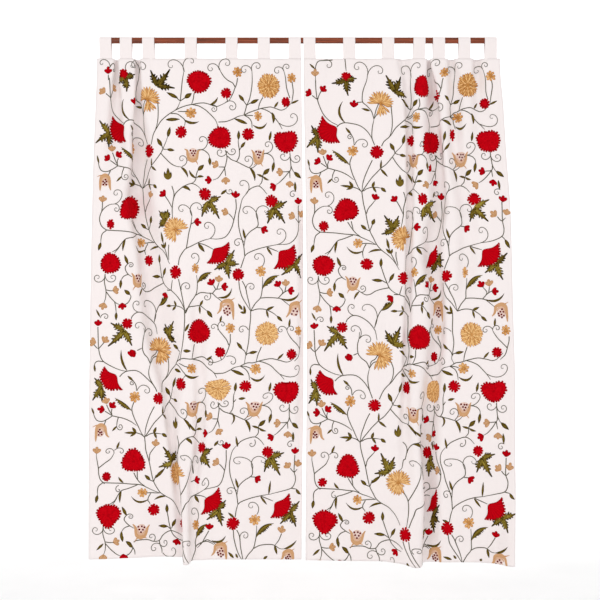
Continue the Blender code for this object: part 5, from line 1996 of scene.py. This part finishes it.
def ring_angles(ring: PetalRing) -> np.ndarray:
    """The directions of a ring's petals, in degrees."""
    return np.linspace(ring.start, ring.end, ring.count, endpoint=ring.end - ring.start < 360)


@dataclass
class Embroidery:
    """The wool on one curtain: two repeats of the chart, joined by the wool that works them."""

    cloth: HungCloth
    repeats: tuple
    wools: dict
    works: dict = field(default_factory=dict)
    stems: np.ndarray = field(default_factory=lambda: np.zeros((0, 2)))

    def __post_init__(self) -> None:
        """Threads a needle with each wool."""
        side = self.cloth.panel.name
        self.works = {
            wool: StitchWork(self.cloth, f"embroidery_{side}_{wool.name.lower()}", material)
            for wool, material in self.wools.items()
        }
        self.random = np.random.default_rng(WOOL_SEEDS[side])

    def _uneven(self, most: float, shape: tuple | int | None = None) -> float | np.ndarray:
        """Small random differences of either sign, as a hand makes them."""
        return self.random.uniform(-most, most, shape)

    def sew(self, wool: Wool, places: np.ndarray, lift: np.ndarray, along: np.ndarray,
            beside: np.ndarray, tone: np.ndarray | float, closed: bool = False) -> None:
        """Adds one patch whose corners are places of the chart, in squares.

        Args:
            wool: The wool.
            places: Corners' places, a grid of (across, line).
            lift: Corners' heights over the cloth, in metres.
            along: Corners' places along the stitches, in squares.
            beside: Corners' places beside the stitches, in squares.
            tone: Corners' tones.
            closed: Whether the last column meets the first and the first row closes over a centre.
        """
        across = places[..., 0] * SQUARE
        drop = (places[..., 1] - TOP_LINE) * SQUARE
        self.works[wool].patch(across, drop, lift, along * SQUARE, beside * SQUARE, tone, closed)

    def ribbon(self, line: np.ndarray, wool: Wool, band: Band) -> None:
        """A band of chain stitch along a line.

        Args:
            line: The line's points, in squares.
            wool: The wool.
            band: How it is worked.
        """
        along = walked(line)
        half = band.width / 2 / SQUARE * sampled(band.outline, along / along[-1])
        beside = (BAND_ACROSS + 1) / 2 * STITCH_ROW * band.rows / SQUARE
        self.sew(wool, spread(line, half, BAND_ACROSS, sideways(line)), band.height * BAND_CROWN,
                 along[:, None], beside, band.tone)

    def vine(self, line: np.ndarray) -> None:
        """A stem of two rows of stitches, kept so that buds can open away from it."""
        self.ribbon(line, Wool.VINE, VINE_BAND)
        self.stems = np.vstack([self.stems, line])

    def blade(self, base: np.ndarray, tip: np.ndarray, width: float, bend: float, wool: Wool,
              style: Blade) -> None:
        """One leaf or petal: a pointed patch about a bent rib.

        Args:
            base: Its base, in squares.
            tip: Its tip, in squares.
            width: Its greatest width, in squares.
            bend: How far its rib bends, as a share of its length.
            wool: The wool.
            style: How it is worked.
        """
        t = np.linspace(0, 1, style.steps + 1)
        rib = bent_rib(base, tip, bend, t)
        half = width / 2 * sampled(style.outline, t)
        rounded = np.minimum(1, np.sin(np.pi * np.clip(t, 0.03, 0.97)) * 2)
        rise = style.height * BLADE_CROWN[None, :] * rounded[:, None]
        shades = style.edge * BLADE_SHADES + self._uneven(style.mottle, len(BLADE_SHADES))
        tone = np.interp(t, [0, 0.5, 1], style.tones)[:, None] + shades
        tone = tone + self._uneven(style.mottle, tone.shape)
        self.sew(wool, spread(rib, half, BLADE_ACROSS, sideways(rib)), rise + style.lift,
                 (t * np.linalg.norm(tip - base))[:, None], half[:, None] * BLADE_ACROSS[None, :], tone)

    def disc(self, centre: np.ndarray, radii: np.ndarray, rounds: list, wool: Wool,
             shade: float | np.ndarray = 0.0) -> None:
        """One round patch about a centre.

        Args:
            centre: Its centre, in squares.
            radii: Its outline's radius at each even angle, in squares.
            rounds: Its rounds of stitches, from the centre outwards.
            wool: The wool.
            shade: How much lighter it is, as a whole or at each round and angle.
        """
        angle = np.linspace(0, 2 * np.pi, len(radii), endpoint=False)
        shares, lifts, tones = np.array(rounds).T[..., None]
        beside = shares * radii[None, :]
        along = (angle * radii.mean() * ROUND_STITCHES)[None, :]
        self.sew(wool, centre + beside[..., None] * spokes(angle)[None], lifts, along, beside,
                 tones + shade, closed=True)

    def beads(self, rim: np.ndarray, outward: np.ndarray, beading: Beading) -> None:
        """Small round red knots in a row, each a little longer outwards.

        Args:
            rim: Where their outer ends are, in squares.
            outward: Each one's outward direction.
            beading: How they are worked.
        """
        rise = BEAD_HEIGHT * (BEAD_CROWN[None, :] * BEAD_RISE[:, None])
        along = (BEAD_STEPS * beading.length / 2)[:, None]
        beside = (BEAD_STEPS * beading.width / 2)[None, :]
        for middle, out in zip(rim - beading.length / 2 * outward, outward):
            side = np.array([-out[1], out[0]])
            size = self.random.uniform(*BEAD_SIZES)
            places = (middle + (along * size)[..., None] * out
                      + (BEAD_WIDTHS[:, None] * beside * size)[..., None] * side)
            self.sew(Wool.RED, places, rise, along, beside, beading.tone + self._uneven(0.05))

    def blossom(self, centre: np.ndarray, form: Blossom) -> None:
        """A red flower worked in rounds, with dark beads about its rim."""
        centre = centre + form.shift
        beading = SMALL_BEADING if max(form.reach) < SMALL_FLOWER else WIDE_BEADING
        rim = 2 * math.pi * float(np.mean(form.reach))
        count = max(8, int(round(rim / beading.pitch)))
        angle = np.linspace(0, 2 * np.pi, count, endpoint=False) + self.random.uniform(0, 1)
        angle += self._uneven(BEAD_SPACING, count) * 2 * np.pi / count
        reach = (outline(form, angle) + beading.past) * self.random.uniform(*RIM_REACHES, count)
        self.beads(centre + reach[:, None] * spokes(angle), spokes(angle), beading)
        turns = np.linspace(0, 2 * np.pi, 2 * max(12, count), endpoint=False)
        shares = np.array([row.radius for row in BLOSSOM_ROUNDS])[:, None]
        wave = BLOSSOM_WAVE * np.sin(turns * 5 + self.random.uniform(0, 6))[None, :] * shares
        self.disc(centre, outline(form, turns) - beading.inset, BLOSSOM_ROUNDS, Wool.RED,
                  form.tone + wave + self._uneven(BLOSSOM_MOTTLE, wave.shape))

    def rosette(self, centre: np.ndarray, form: Blossom) -> None:
        """A small gold flower of eight round petals with darker gaps."""
        centre = centre + form.shift
        turns = np.linspace(0, 2 * np.pi, ROSETTE_COUNT, endpoint=False) + self.random.uniform(0, 1)
        for number, (angle, reach) in enumerate(zip(turns, outline(form, turns))):
            spoke = spokes(angle + self._uneven(0.1))
            shade = form.tone + self.random.uniform(*ROSETTE_TONES)
            reach *= self.random.uniform(*ROSETTE_REACHES)
            petal = ROSETTE_PETAL.shaded(shade)._replace(lift=ROSETTE_LIFTS[number % 2])
            self.blade(centre + spoke * ROSETTE_START, centre + spoke * (reach + ROSETTE_PAST),
                       ROSETTE_WIDTH * reach, 0.0, Wool.GOLD, petal)
        self.disc(centre, np.full(10, ROSETTE_HEART_RADIUS), ROSETTE_HEART, Wool.GOLD, form.tone)

    def petals(self, centre: np.ndarray, ring: PetalRing, share: np.ndarray, tone: float) -> None:
        """One ring, or part of a ring, of pointed gold petals about a centre.

        Args:
            centre: Where they meet, in squares.
            ring: The ring's sizes.
            share: Each petal's reach as a share of the ring's.
            tone: How much lighter they are.
        """
        for number, (degrees, reach) in enumerate(zip(ring_angles(ring), share)):
            spoke = spokes(math.radians(degrees + self._uneven(2)))
            length = ring.outer * reach * self.random.uniform(*PETAL_REACHES)
            shade = tone + PETAL_TONES[number % 2] + self._uneven(0.1)
            self.blade(centre + spoke * ring.inner, centre + spoke * length, ring.width, 0.0, Wool.GOLD,
                       GOLD_PETAL.shaded(shade)._replace(lift=ring.lift))

    def mum(self, centre: np.ndarray, form: Blossom) -> None:
        """A round gold flower of three rings of petals, closed in the middle."""
        for ring in MUM_RINGS:
            share = outline(form, np.radians(ring_angles(ring))) / MUM_RINGS[0].outer
            self.petals(centre, ring, share, form.tone)
        self.disc(centre, np.full(12, MUM_HEART_RADIUS), MUM_HEART, Wool.GOLD, form.tone)

    def daisy(self, centre: np.ndarray, form: DaisyForm) -> None:
        """A gold flower whose petals spread from a heart below its middle."""
        heart = centre + form.heart
        for ring in form.rings:
            self.petals(heart, ring, np.ones(ring.count), form.tone)
        self.disc(heart, np.full(12, DAISY_HEART_RADIUS), DAISY_HEART, Wool.GOLD, form.tone)

    def fan(self, centre: np.ndarray, form: FanForm) -> None:
        """A red fan with two hollow plain sides and a beaded rim."""
        rim = smooth_line(form.rim, 0.9) + centre
        apex = centre + form.apex
        along = walked(rim)
        v = along / along[-1]
        half = len(rim) // 2
        outward = sideways(rim)
        if (rim[half] - apex) @ outward[half] < 0:
            outward = -outward
        inner = rim - FAN_BEADING.inset * outward * np.minimum(1, np.sin(np.pi * v) * 3)[:, None]
        t = FAN_ROWS[:, None]
        places = apex + t[..., None] * (inner - apex)[None]
        middle = apex + t[..., None] * (inner[half] - apex)
        hollow = FAN_HOLLOW * np.sin(np.pi * t) * (np.abs(2 * v - 1) ** 4)[None, :]
        places = places + hollow[..., None] * (middle - places)
        side_edge = np.minimum(1, np.minimum(v, 1 - v) * FAN_SIDE_FALL)[None, :]
        edge = side_edge * np.minimum(1, (1 - t) * FAN_RIM_FALL)
        rise = (FAN_HEIGHT + FAN_WAVE * np.cos(t * FAN_WAVES)) * np.sqrt(edge)
        rise = rise * np.minimum(1, t * FAN_APEX_RISE)
        ribs = FAN_RIBS * np.cos(v * math.pi * 4 * len(form.rim))[None, :] * np.minimum(1, t * 2)
        tone = FAN_TONE + ribs + self._uneven(FAN_MOTTLE, rise.shape) - FAN_EDGE * (1 - edge)
        beside = t * np.linalg.norm(inner - apex, axis=1)[None, :]
        self.sew(Wool.RED, places, rise - FAN_SINK, along[None, :], beside, tone)
        count = int(along[-1] / FAN_BEADING.pitch)
        at = (np.arange(1, count) + 0.1) / (count + 0.2) * along[-1]
        near = np.round(np.interp(at, along, np.arange(len(rim)))).astype(int)
        self.beads(rim[near] + FAN_BEADING.past * outward[near], outward[near], FAN_BEADING)
        for side in (places[:, 0], places[:, -1]):
            self.ribbon(side, Wool.RED, FAN_SIDE)
        for end, inside in ((rim[0], rim[3]), (rim[-1], rim[-4])):
            self.blade(inside, end + (end - inside) * 0.1, FAN_CORNER_WIDTH, 0.0, Wool.RED,
                       FAN_CORNER)

    def chinar_lobe(self, base: np.ndarray, tip: np.ndarray, shade: float) -> None:
        """One lobe of a chinar leaf, with three pairs of teeth and a dark rib.

        Args:
            base: The leaf's base, in squares.
            tip: The lobe's tip, in squares.
            shade: How much lighter it is.
        """
        way = tip - base
        length = float(np.linalg.norm(way))
        ahead = way / length
        side = np.array([-ahead[1], ahead[0]])
        wide = LOBE_WIDTH + LOBE_WIDENING * length
        for place, reach in CHINAR_TEETH:
            for hand in (-1, 1):
                root = base + way * (place - TOOTH_ROOT)
                out = TOOTH_OUT * hand * side + TOOTH_AHEAD * ahead
                long = (wide * TOOTH_LENGTH_SHARE + TOOTH_LENGTH) * reach
                point = root + out * long * self.random.uniform(*TOOTH_REACHES)
                near = self.random.uniform(*TOOTH_TONES) + shade
                self.blade(root, point, TOOTH_WIDTH, 0.0, Wool.LEAF,
                           CHINAR_TOOTH.shaded(near, dark_tip=True))
        self.blade(base, tip, wide * LOBE_FILL, self._uneven(0.05), Wool.LEAF,
                   CHINAR_LOBE.shaded(shade, dark_tip=True))
        self.ribbon(np.array([base + way * share for share in LOBE_RIB]), Wool.LEAF, CHINAR_RIB)

    def chinar(self, centre: np.ndarray, form: ChinarForm) -> None:
        """An olive leaf of pointed, toothed lobes with dark teeth and tips."""
        base = centre + form.base
        tips = np.array(form.tips, float) + centre
        hub = base * (1 - CHINAR_HUB_SHARE) + tips.mean(axis=0) * CHINAR_HUB_SHARE
        self.disc(hub, np.full(20, CHINAR_HUB_RADIUS), CHINAR_HUB, Wool.LEAF, form.tone)
        for tip in tips:
            self.chinar_lobe(base, tip, form.tone + self.random.uniform(*LOBE_TONES))

    def half_leaf(self, base: np.ndarray, tip: np.ndarray, width: float, bend: float) -> None:
        """A long leaf with one smooth dark edge and one of small teeth.

        Args:
            base: Its base, in squares.
            tip: Its tip, in squares.
            width: Its greatest width, in squares.
            bend: How far it bends, as a share of its length; its teeth are on the hollow side.
        """
        way = tip - base
        t = np.linspace(0, 1, HALF_LEAF_STEPS + 1)
        rib = bent_rib(base, tip, bend, t)
        out = sideways(rib) * -math.copysign(1, bend)
        reach = width * np.sin(np.pi * np.clip(t, 0.02, 0.98) ** 0.9)
        self.sew(Wool.LEAF, spread(rib, reach, HALF_LEAF_ACROSS, out), HALF_LEAF_LIFTS,
                 walked(rib)[:, None], reach[:, None] * HALF_LEAF_ACROSS[None, :], HALF_LEAF_TONES)
        self.ribbon(rib, Wool.LEAF, HALF_LEAF_RIB)
        ahead = way / np.linalg.norm(way) * HALF_LEAF_TOOTH_AHEAD
        for share in HALF_LEAF_TEETH:
            number = int(round(share * HALF_LEAF_STEPS))
            root = rib[number] + reach[number] * HALF_LEAF_TOOTH_START * out[number]
            point = rib[number] + (reach[number] + HALF_LEAF_TOOTH_PAST) * out[number] + ahead
            self.blade(root, point, HALF_LEAF_TOOTH_WIDTH, 0.0, Wool.LEAF, HALF_LEAF_TOOTH)

    def cup(self, centre: np.ndarray, form: CupForm) -> None:
        """A tan cup with its wall and prongs, pale inside, with dark red dots."""
        stretch = np.array(form.stretch, float)

        def placed(points: list) -> np.ndarray:
            """The cup's own places, set on the chart."""
            return centre + np.array(points, float) * stretch

        wall = smooth_line(placed(form.wall), CUP_STEP)
        dots = placed(form.dots)
        heart = dots.mean(axis=0)
        angle = np.linspace(0, 2 * np.pi, 28, endpoint=False)
        radii = CUP_HEART_RADIUS * np.hypot(np.cos(angle) * stretch[0], np.sin(angle) * stretch[1])
        self.disc(heart, radii, CUP_HEART, Wool.TAN)
        middle = wall[len(wall) // 5:len(wall) * 4 // 5]
        self.ribbon(heart + LINING_SHARE * (middle - heart), Wool.TAN, CUP_LINING)
        self.ribbon(wall, Wool.TAN, CUP_SIDE)
        for prong in form.prongs:
            self.ribbon(smooth_line(placed(prong), CUP_STEP), Wool.TAN, CUP_PRONG)
        for dot in dots:
            self.disc(dot, np.full(8, CUP_DOT_RADIUS), CUP_DOT, Wool.RED)

    def bud(self, centre: np.ndarray, wool: Wool) -> None:
        """A tiny bud of three round petals that open away from its stem."""
        away = centre - self.stems
        far = np.linalg.norm(away, axis=1)
        near = away[(far > BUD_STEM_NEAR) & (far < BUD_STEM_FAR)]
        way = near.mean(axis=0) if len(near) else np.array([0.0, -1.0])
        start = math.atan2(way[1], way[0]) + self._uneven(0.2)
        root = centre - spokes(start) * BUD_ROOT
        for turn, length in BUD_PETALS:
            point = root + spokes(start + turn) * length * self.random.uniform(*BUD_REACHES)
            self.blade(root, point, BUD_PETAL_WIDTH, 0.0, wool, BUD_BLADES[wool])

    def leaf_bud(self, centre: np.ndarray) -> None:
        """A small upright bud of three pointed olive leaves."""
        for across, top, width in LEAF_BUD_LEAVES:
            self.blade(centre + LEAF_BUD_ROOT, centre + (across, top), width, across * 0.03, Wool.LEAF,
                       LEAF_BUD_BLADE)

    def motif(self, place: Place, repeat: Repeat) -> None:
        """Works one motif at its place in one repeat."""
        centre = np.array(place.worked[repeat.value], float)
        form = place.forms[repeat.value % len(place.forms)]
        kind = place.motif
        if kind is Motif.BLOSSOM_OVER_MUM:
            kind = Motif.MUM if repeat in LOWER else Motif.BLOSSOM
        workers = {
            Motif.BLOSSOM: self.blossom, Motif.MUM: self.mum, Motif.DAISY: self.daisy,
            Motif.FAN: self.fan, Motif.CHINAR: self.chinar, Motif.CUP: self.cup,
            Motif.ROSETTE: self.rosette,
        }
        if kind in workers:
            workers[kind](centre, form)
        elif kind is Motif.RED_BUD:
            self.bud(centre, Wool.RED)
        elif kind is Motif.LEAF_BUD:
            self.leaf_bud(centre)

    def work_sprays(self, warp: ChartWarp, part: Sprays) -> None:
        """Works the vines, curls, leaves and buds of one part of the chart.

        Args:
            warp: Where the repeat has each place.
            part: The part.
        """
        def moved(points: list) -> np.ndarray:
            """The part's places in this repeat."""
            return warp.from_repeat(points, part.source) if part.source else warp.from_chart(points)

        for points in part.vines:
            self.vine(moved(smooth_line(points)))
        for curl in part.tendrils:
            self.ribbon(moved(tendril_line(curl)), Wool.VINE, TENDRIL_BAND)
        for leaf in part.leaves:
            base, tip = moved([leaf.base, leaf.tip])
            self.blade(base, tip, leaf.width * LEAF_FULLNESS, leaf.bend, Wool.LEAF, LEAF_BLADE)
        for leaf in part.toothed:
            base, tip = moved([leaf.base, leaf.tip])
            self.half_leaf(base, tip, leaf.width, leaf.bend)
        for bud in part.buds:
            self.bud(moved([bud.place])[0], bud.wools[warp.repeat.value % len(bud.wools)])

    def work_repeat(self, repeat: Repeat) -> None:
        """Works the sprays and motifs of one repeat."""
        warp = ChartWarp(repeat)
        for part in SPRAYS:
            if repeat in part.worked_in:
                self.work_sprays(warp, part)
        for place in PLACES:
            self.motif(place, repeat)

    def build(self) -> list:
        """Works both repeats and lays them on the cloth, one piece for each wool."""
        for repeat in self.repeats:
            self.work_repeat(repeat)
        return [work.build() for work in self.works.values()]


@dataclass
class CurtainPanel:
    """One hung cotton panel with its turned hems and its machine stitching."""

    cloth: HungCloth
    cotton: bpy.types.Material
    thread: bpy.types.Material
    stitch: float = 0.0034
    stitch_gap: float = 0.0014
    stitch_width: float = 0.0007
    stitch_sink: float = 0.0001
    stitch_height: float = 0.0004
    seam_end: float = 0.004
    seam_width: float = 0.02

    def build(self) -> bpy.types.Object:
        """The closed cloth: a face, a back that stands out where it is turned, and four edges."""
        cloth = self.cloth
        across, drops = np.meshgrid(cloth.across, cloth.drops)
        nearest = np.minimum.reduce([
            across / cloth.side_hem, (CLOTH_WIDTH - across) / cloth.side_hem,
            drops / cloth.heading, (CLOTH_DROP - drops) / cloth.bottom_hem,
        ])
        seam = np.abs(nearest - 1) < self.seam_width
        face = cloth.face - np.where(seam, cloth.dimple, 0)
        back = cloth.back + np.where(nearest < 1, cloth.turned, 0)
        front = cloth.points + cloth.normals * face[..., None]
        rear = cloth.points - cloth.normals * back[..., None]
        points, quads = closed_shell(front, rear)
        thread = np.stack([across.ravel(), drops.ravel()], axis=1)
        return new_mesh(f"cloth_{cloth.panel.name}", points, quads.tolist(), np.vstack([thread, thread]),
                        np.full(len(points), 0.5), self.cotton)

    def build_seams(self) -> bpy.types.Object:
        """The machine stitching that holds the heading and the hems."""
        cloth = self.cloth
        work = StitchWork(cloth, f"seam_stitches_{cloth.panel.name}", self.thread)
        inset = cloth.side_hem
        level = (inset, CLOTH_WIDTH - inset)
        upright = (self.seam_end, CLOTH_DROP - self.seam_end)
        runs = [
            (level, cloth.heading, True),
            (level, CLOTH_DROP - cloth.bottom_hem, True),
            (upright, inset, False),
            (upright, CLOTH_WIDTH - inset, False),
        ]
        pitch = self.stitch + self.stitch_gap
        t = np.linspace(-0.5, 0.5, 4) * self.stitch
        v = np.array([-0.5, 0, 0.5]) * self.stitch_width
        sink, height = self.stitch_sink, self.stitch_height
        rise = np.array([-sink, height, height, -sink])[:, None] + np.array([-sink, 0, -sink])[None, :]
        for (start, end), seam, is_level in runs:
            for middle in np.arange(start + pitch, end, pitch):
                along = np.broadcast_to(middle + t[:, None], rise.shape)
                beside = np.broadcast_to(seam + v[None, :], rise.shape)
                across, drop = (along, beside) if is_level else (beside, along)
                work.patch(across, drop, rise - cloth.dimple, along, beside, 0.5)
        return work.build()


@dataclass
class HeadingTab:
    """One tab: a doubled cotton strip over the rod, its ends caught behind the heading."""

    cloth: HungCloth
    number: int
    cotton: bpy.types.Material
    thickness: float = 0.0013
    rod_gap: float = 0.0004
    caught: float = 0.012
    layer_gap: float = 0.0002
    arc_steps: int = 22
    fall_steps: int = 14
    across_steps: int = 14
    lean: float = 0.0012
    waist: float = 0.03
    edge_thickness: float = 0.55
    edge_steepness: float = 18
    seam_place: float = 0.44
    seam_reach: float = 0.018
    seam_depth: float = 0.00018

    def _centre_line(self, middle: float) -> tuple:
        """Y and Z of the strip's middle, from its front end over the rod to its rear end.

        Args:
            middle: Where the tab is sewn, across the flat cloth.

        Returns:
            Y of each step, Z of each step, and X of the tab's middle.
        """
        top = self.cloth.at(np.array([middle]), np.array([0.0]), np.array([0.0]))[0]
        behind = self.cloth.face + self.cloth.turned + self.layer_gap + self.thickness / 2
        front_y = top[1] + behind
        rear_y = front_y + self.thickness + self.layer_gap
        radius = ROD_DIAMETER / 2 + self.rod_gap + self.thickness / 2
        fall = np.linspace(0, 1, self.fall_steps + 1)
        ease = fall**2 * (3 - 2 * fall)
        foot = top[2] - self.caught
        angles = np.linspace(np.pi, 0, self.arc_steps + 1)
        front = np.stack([front_y + (-radius - front_y) * ease, foot * (1 - fall)], axis=1)
        arc = np.stack([radius * np.cos(angles), radius * np.sin(angles)], axis=1)
        rear = np.stack([radius + (rear_y - radius) * ease, foot * fall], axis=1)
        line = np.vstack([front[:-1], arc, rear[1:]])
        return line[:, 0], line[:, 1], float(top[0])

    def build(self) -> bpy.types.Object:
        """The strip, soft at its edges and a little waisted where it leaves the rod."""
        middle = self.cloth.panel.tabs[self.number - 1]
        y, z, centre = self._centre_line(middle)
        random = np.random.default_rng(self.number + TAB_SEEDS[self.cloth.panel.name])
        lean = random.uniform(-self.lean, self.lean)
        run_y, run_z = np.gradient(y), np.gradient(z)
        length = np.hypot(run_y, run_z)
        out_y, out_z = run_z / length, -run_y / length
        along = walked(np.stack([y, z], axis=1))
        share = along / along[-1]
        v = np.linspace(-0.5, 0.5, self.across_steps + 1)
        width = TAB_WIDTH * (1 - self.waist * np.sin(np.pi * share) ** 2)
        x = centre + width[:, None] * v[None, :] + lean * (np.cos(2 * np.pi * share)[:, None])
        edge = np.minimum(1, (0.5 - np.abs(v)) * self.edge_steepness)
        seam = np.exp(-((np.abs(v) - self.seam_place) / self.seam_reach) ** 2)
        full = self.edge_thickness + (1 - self.edge_thickness) * edge
        swell = self.thickness / 2 * full - self.seam_depth * seam
        sides = []
        for side in (1, -1):
            grid_y = y[:, None] - side * out_y[:, None] * swell[None, :]
            grid_z = z[:, None] - side * out_z[:, None] * swell[None, :]
            sides.append(np.stack([x, grid_y, grid_z], axis=-1))
        points, quads = closed_shell(*sides)
        along = np.broadcast_to(along[:, None], x.shape)
        beside = np.broadcast_to((v * TAB_WIDTH)[None, :], x.shape)
        thread = np.stack([beside.ravel(), along.ravel()], axis=1)
        name = f"tab_strip_{self.cloth.panel.name}_{self.number}"
        return new_mesh(name, points, quads.tolist(), np.vstack([thread, thread]),
                        np.full(len(points), 0.5), self.cotton)

    def length(self) -> float:
        """How long the strip was cut, in metres."""
        y, z, _ = self._centre_line(self.cloth.panel.tabs[self.number - 1])
        return float(np.hypot(np.diff(y), np.diff(z)).sum())


class SoftBox(NamedTuple):
    """One area light: its name, its place, where it points, its two sizes and its power."""

    name: str
    place: tuple
    aim: tuple
    size: tuple
    power: float


SOFT_BOXES = [
    SoftBox("key_light", (-2.4, -4.2, -0.9), (0.1, 0, -1.15), (2.2, 2.2), 32),
    SoftBox("fill_light", (3.4, -4.0, -1.1), (0, 0, -1.2), (3.0, 3.0), 15),
    SoftBox("rod_light", (0, -2.4, -0.95), (0, 0, 0), (3.0, 0.05), 2.2),
    SoftBox("wall_light", (0, 4.0, 3.5), (0, 9.0, -1.0), (8.0, 3.0), 330),
]


@dataclass
class Studio:
    """The plain pale floor, the soft lights and the camera."""

    floor_level: float = -2.36
    floor_reach: float = 9.0
    curve_radius: float = 2.0
    curve_steps: int = 12
    wall_height: float = 7.0
    sky: float = 0.84
    camera_x: float = 0.008
    camera_height: float = -1.061
    camera_distance: float = 4.6
    lens: float = 67.5
    sensor: float = 36.0

    def build_floor(self) -> bpy.types.Object:
        """A wide floor that curves up into a wall far behind."""
        reach, radius = self.floor_reach, self.curve_radius
        angles = np.linspace(0, np.pi / 2, self.curve_steps + 1)
        profile = [(-reach, 0.0)]
        profile += [(reach - radius + radius * math.sin(a), radius - radius * math.cos(a)) for a in angles]
        profile += [(reach, self.wall_height)]
        points = np.array([(x, y, z + self.floor_level) for y, z in profile for x in (-reach, reach)])
        faces = grid_faces(len(profile), 2)
        flat = np.zeros((len(points), 2))
        floor = new_mesh("studio_floor", points, faces[:, ::-1].tolist(), flat, np.zeros(len(points)),
                         StudioFinish().material())
        return floor

    def _area_light(self, box: SoftBox) -> None:
        """One soft box that points at a place."""
        data = bpy.data.lights.new(box.name, "AREA")
        data.shape = "RECTANGLE"
        data.size, data.size_y = box.size
        data.energy = box.power
        light = bpy.data.objects.new(box.name, data)
        bpy.context.scene.collection.objects.link(light)
        light.location = box.place
        way = Vector(box.aim) - Vector(box.place)
        light.rotation_euler = way.to_track_quat("-Z", "Y").to_euler()

    def build_lights(self) -> None:
        """A key from the front left, a wide fill, a strip for the rod, one for the wall and a sky."""
        for box in SOFT_BOXES:
            self._area_light(box)
        world = bpy.data.worlds.new("studio_sky")
        world.use_nodes = True
        sky = world.node_tree.nodes["Background"]
        sky.inputs["Color"].default_value = (1.0, 1.0, 1.0, 1)
        sky.inputs["Strength"].default_value = self.sky
        bpy.context.scene.world = world
        bpy.context.scene.view_settings.view_transform = "Standard"

    def build_camera(self) -> bpy.types.Object:
        """A level camera straight in front of the pair."""
        data = bpy.data.cameras.new("camera")
        data.lens = self.lens
        data.sensor_width = self.sensor
        camera = bpy.data.objects.new("camera", data)
        camera.location = (self.camera_x, -self.camera_distance, self.camera_height)
        camera.rotation_euler = (math.pi / 2, 0, 0)
        bpy.context.scene.collection.objects.link(camera)
        bpy.context.scene.camera = camera
        return camera


def seated(piece: bpy.types.Object) -> bpy.types.Object:
    """Lets a piece ride on the one body and take its finish from a slot."""
    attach(piece, "root")
    return piece


def dress_curtain(panel: Panel, repeats: tuple, cotton: bpy.types.Material, wools: dict) -> None:
    """Builds one curtain: its cloth, seams, embroidery and tabs.

    Args:
        panel: The curtain's folds and tabs.
        repeats: The repeats worked on it, upper then lower.
        cotton: The cloth's material.
        wools: The material of each wool.
    """
    cloth = HungCloth(panel)
    curtain = CurtainPanel(cloth, cotton, cotton)
    sheet = seated(curtain.build())
    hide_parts(f"curtain_{panel.name}")
    seams = seated(curtain.build_seams())
    log.info("%s and %s built", sheet.name, seams.name)
    work = Embroidery(cloth, repeats, wools)
    stitching = [seated(piece) for wool, piece in zip(work.works, work.build())]
    for number in range(1, len(panel.tabs) + 1):
        tab = HeadingTab(cloth, number, cotton)
        strip = seated(tab.build())
        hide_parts(f"tab_{panel.name}_{number}")
        tab.length()
        log.info("%s built", strip.name)


def main() -> None:
    """Builds the studio, the rod's finish and both curtains."""
    logging.basicConfig(level=logging.INFO, format="%(message)s")
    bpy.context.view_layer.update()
    studio = Studio()
    studio.build_floor()
    studio.build_lights()
    studio.build_camera()
    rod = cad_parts["rod"]
    varnish = VarnishedWoodFinish().material()
    for slot in rod.material_slots:
        slot.material = varnish
    log.info("rod dressed")
    cotton = CottonFinish().material()
    wools = {wool: wool.value.material() for wool in Wool}
    dress_curtain(LEFT_PANEL, (Repeat.LEFT_UPPER, Repeat.LEFT_LOWER), cotton, wools)
    dress_curtain(RIGHT_PANEL, (Repeat.RIGHT_UPPER, Repeat.RIGHT_LOWER), cotton, wools)


if __name__ == "__main__":
    main()
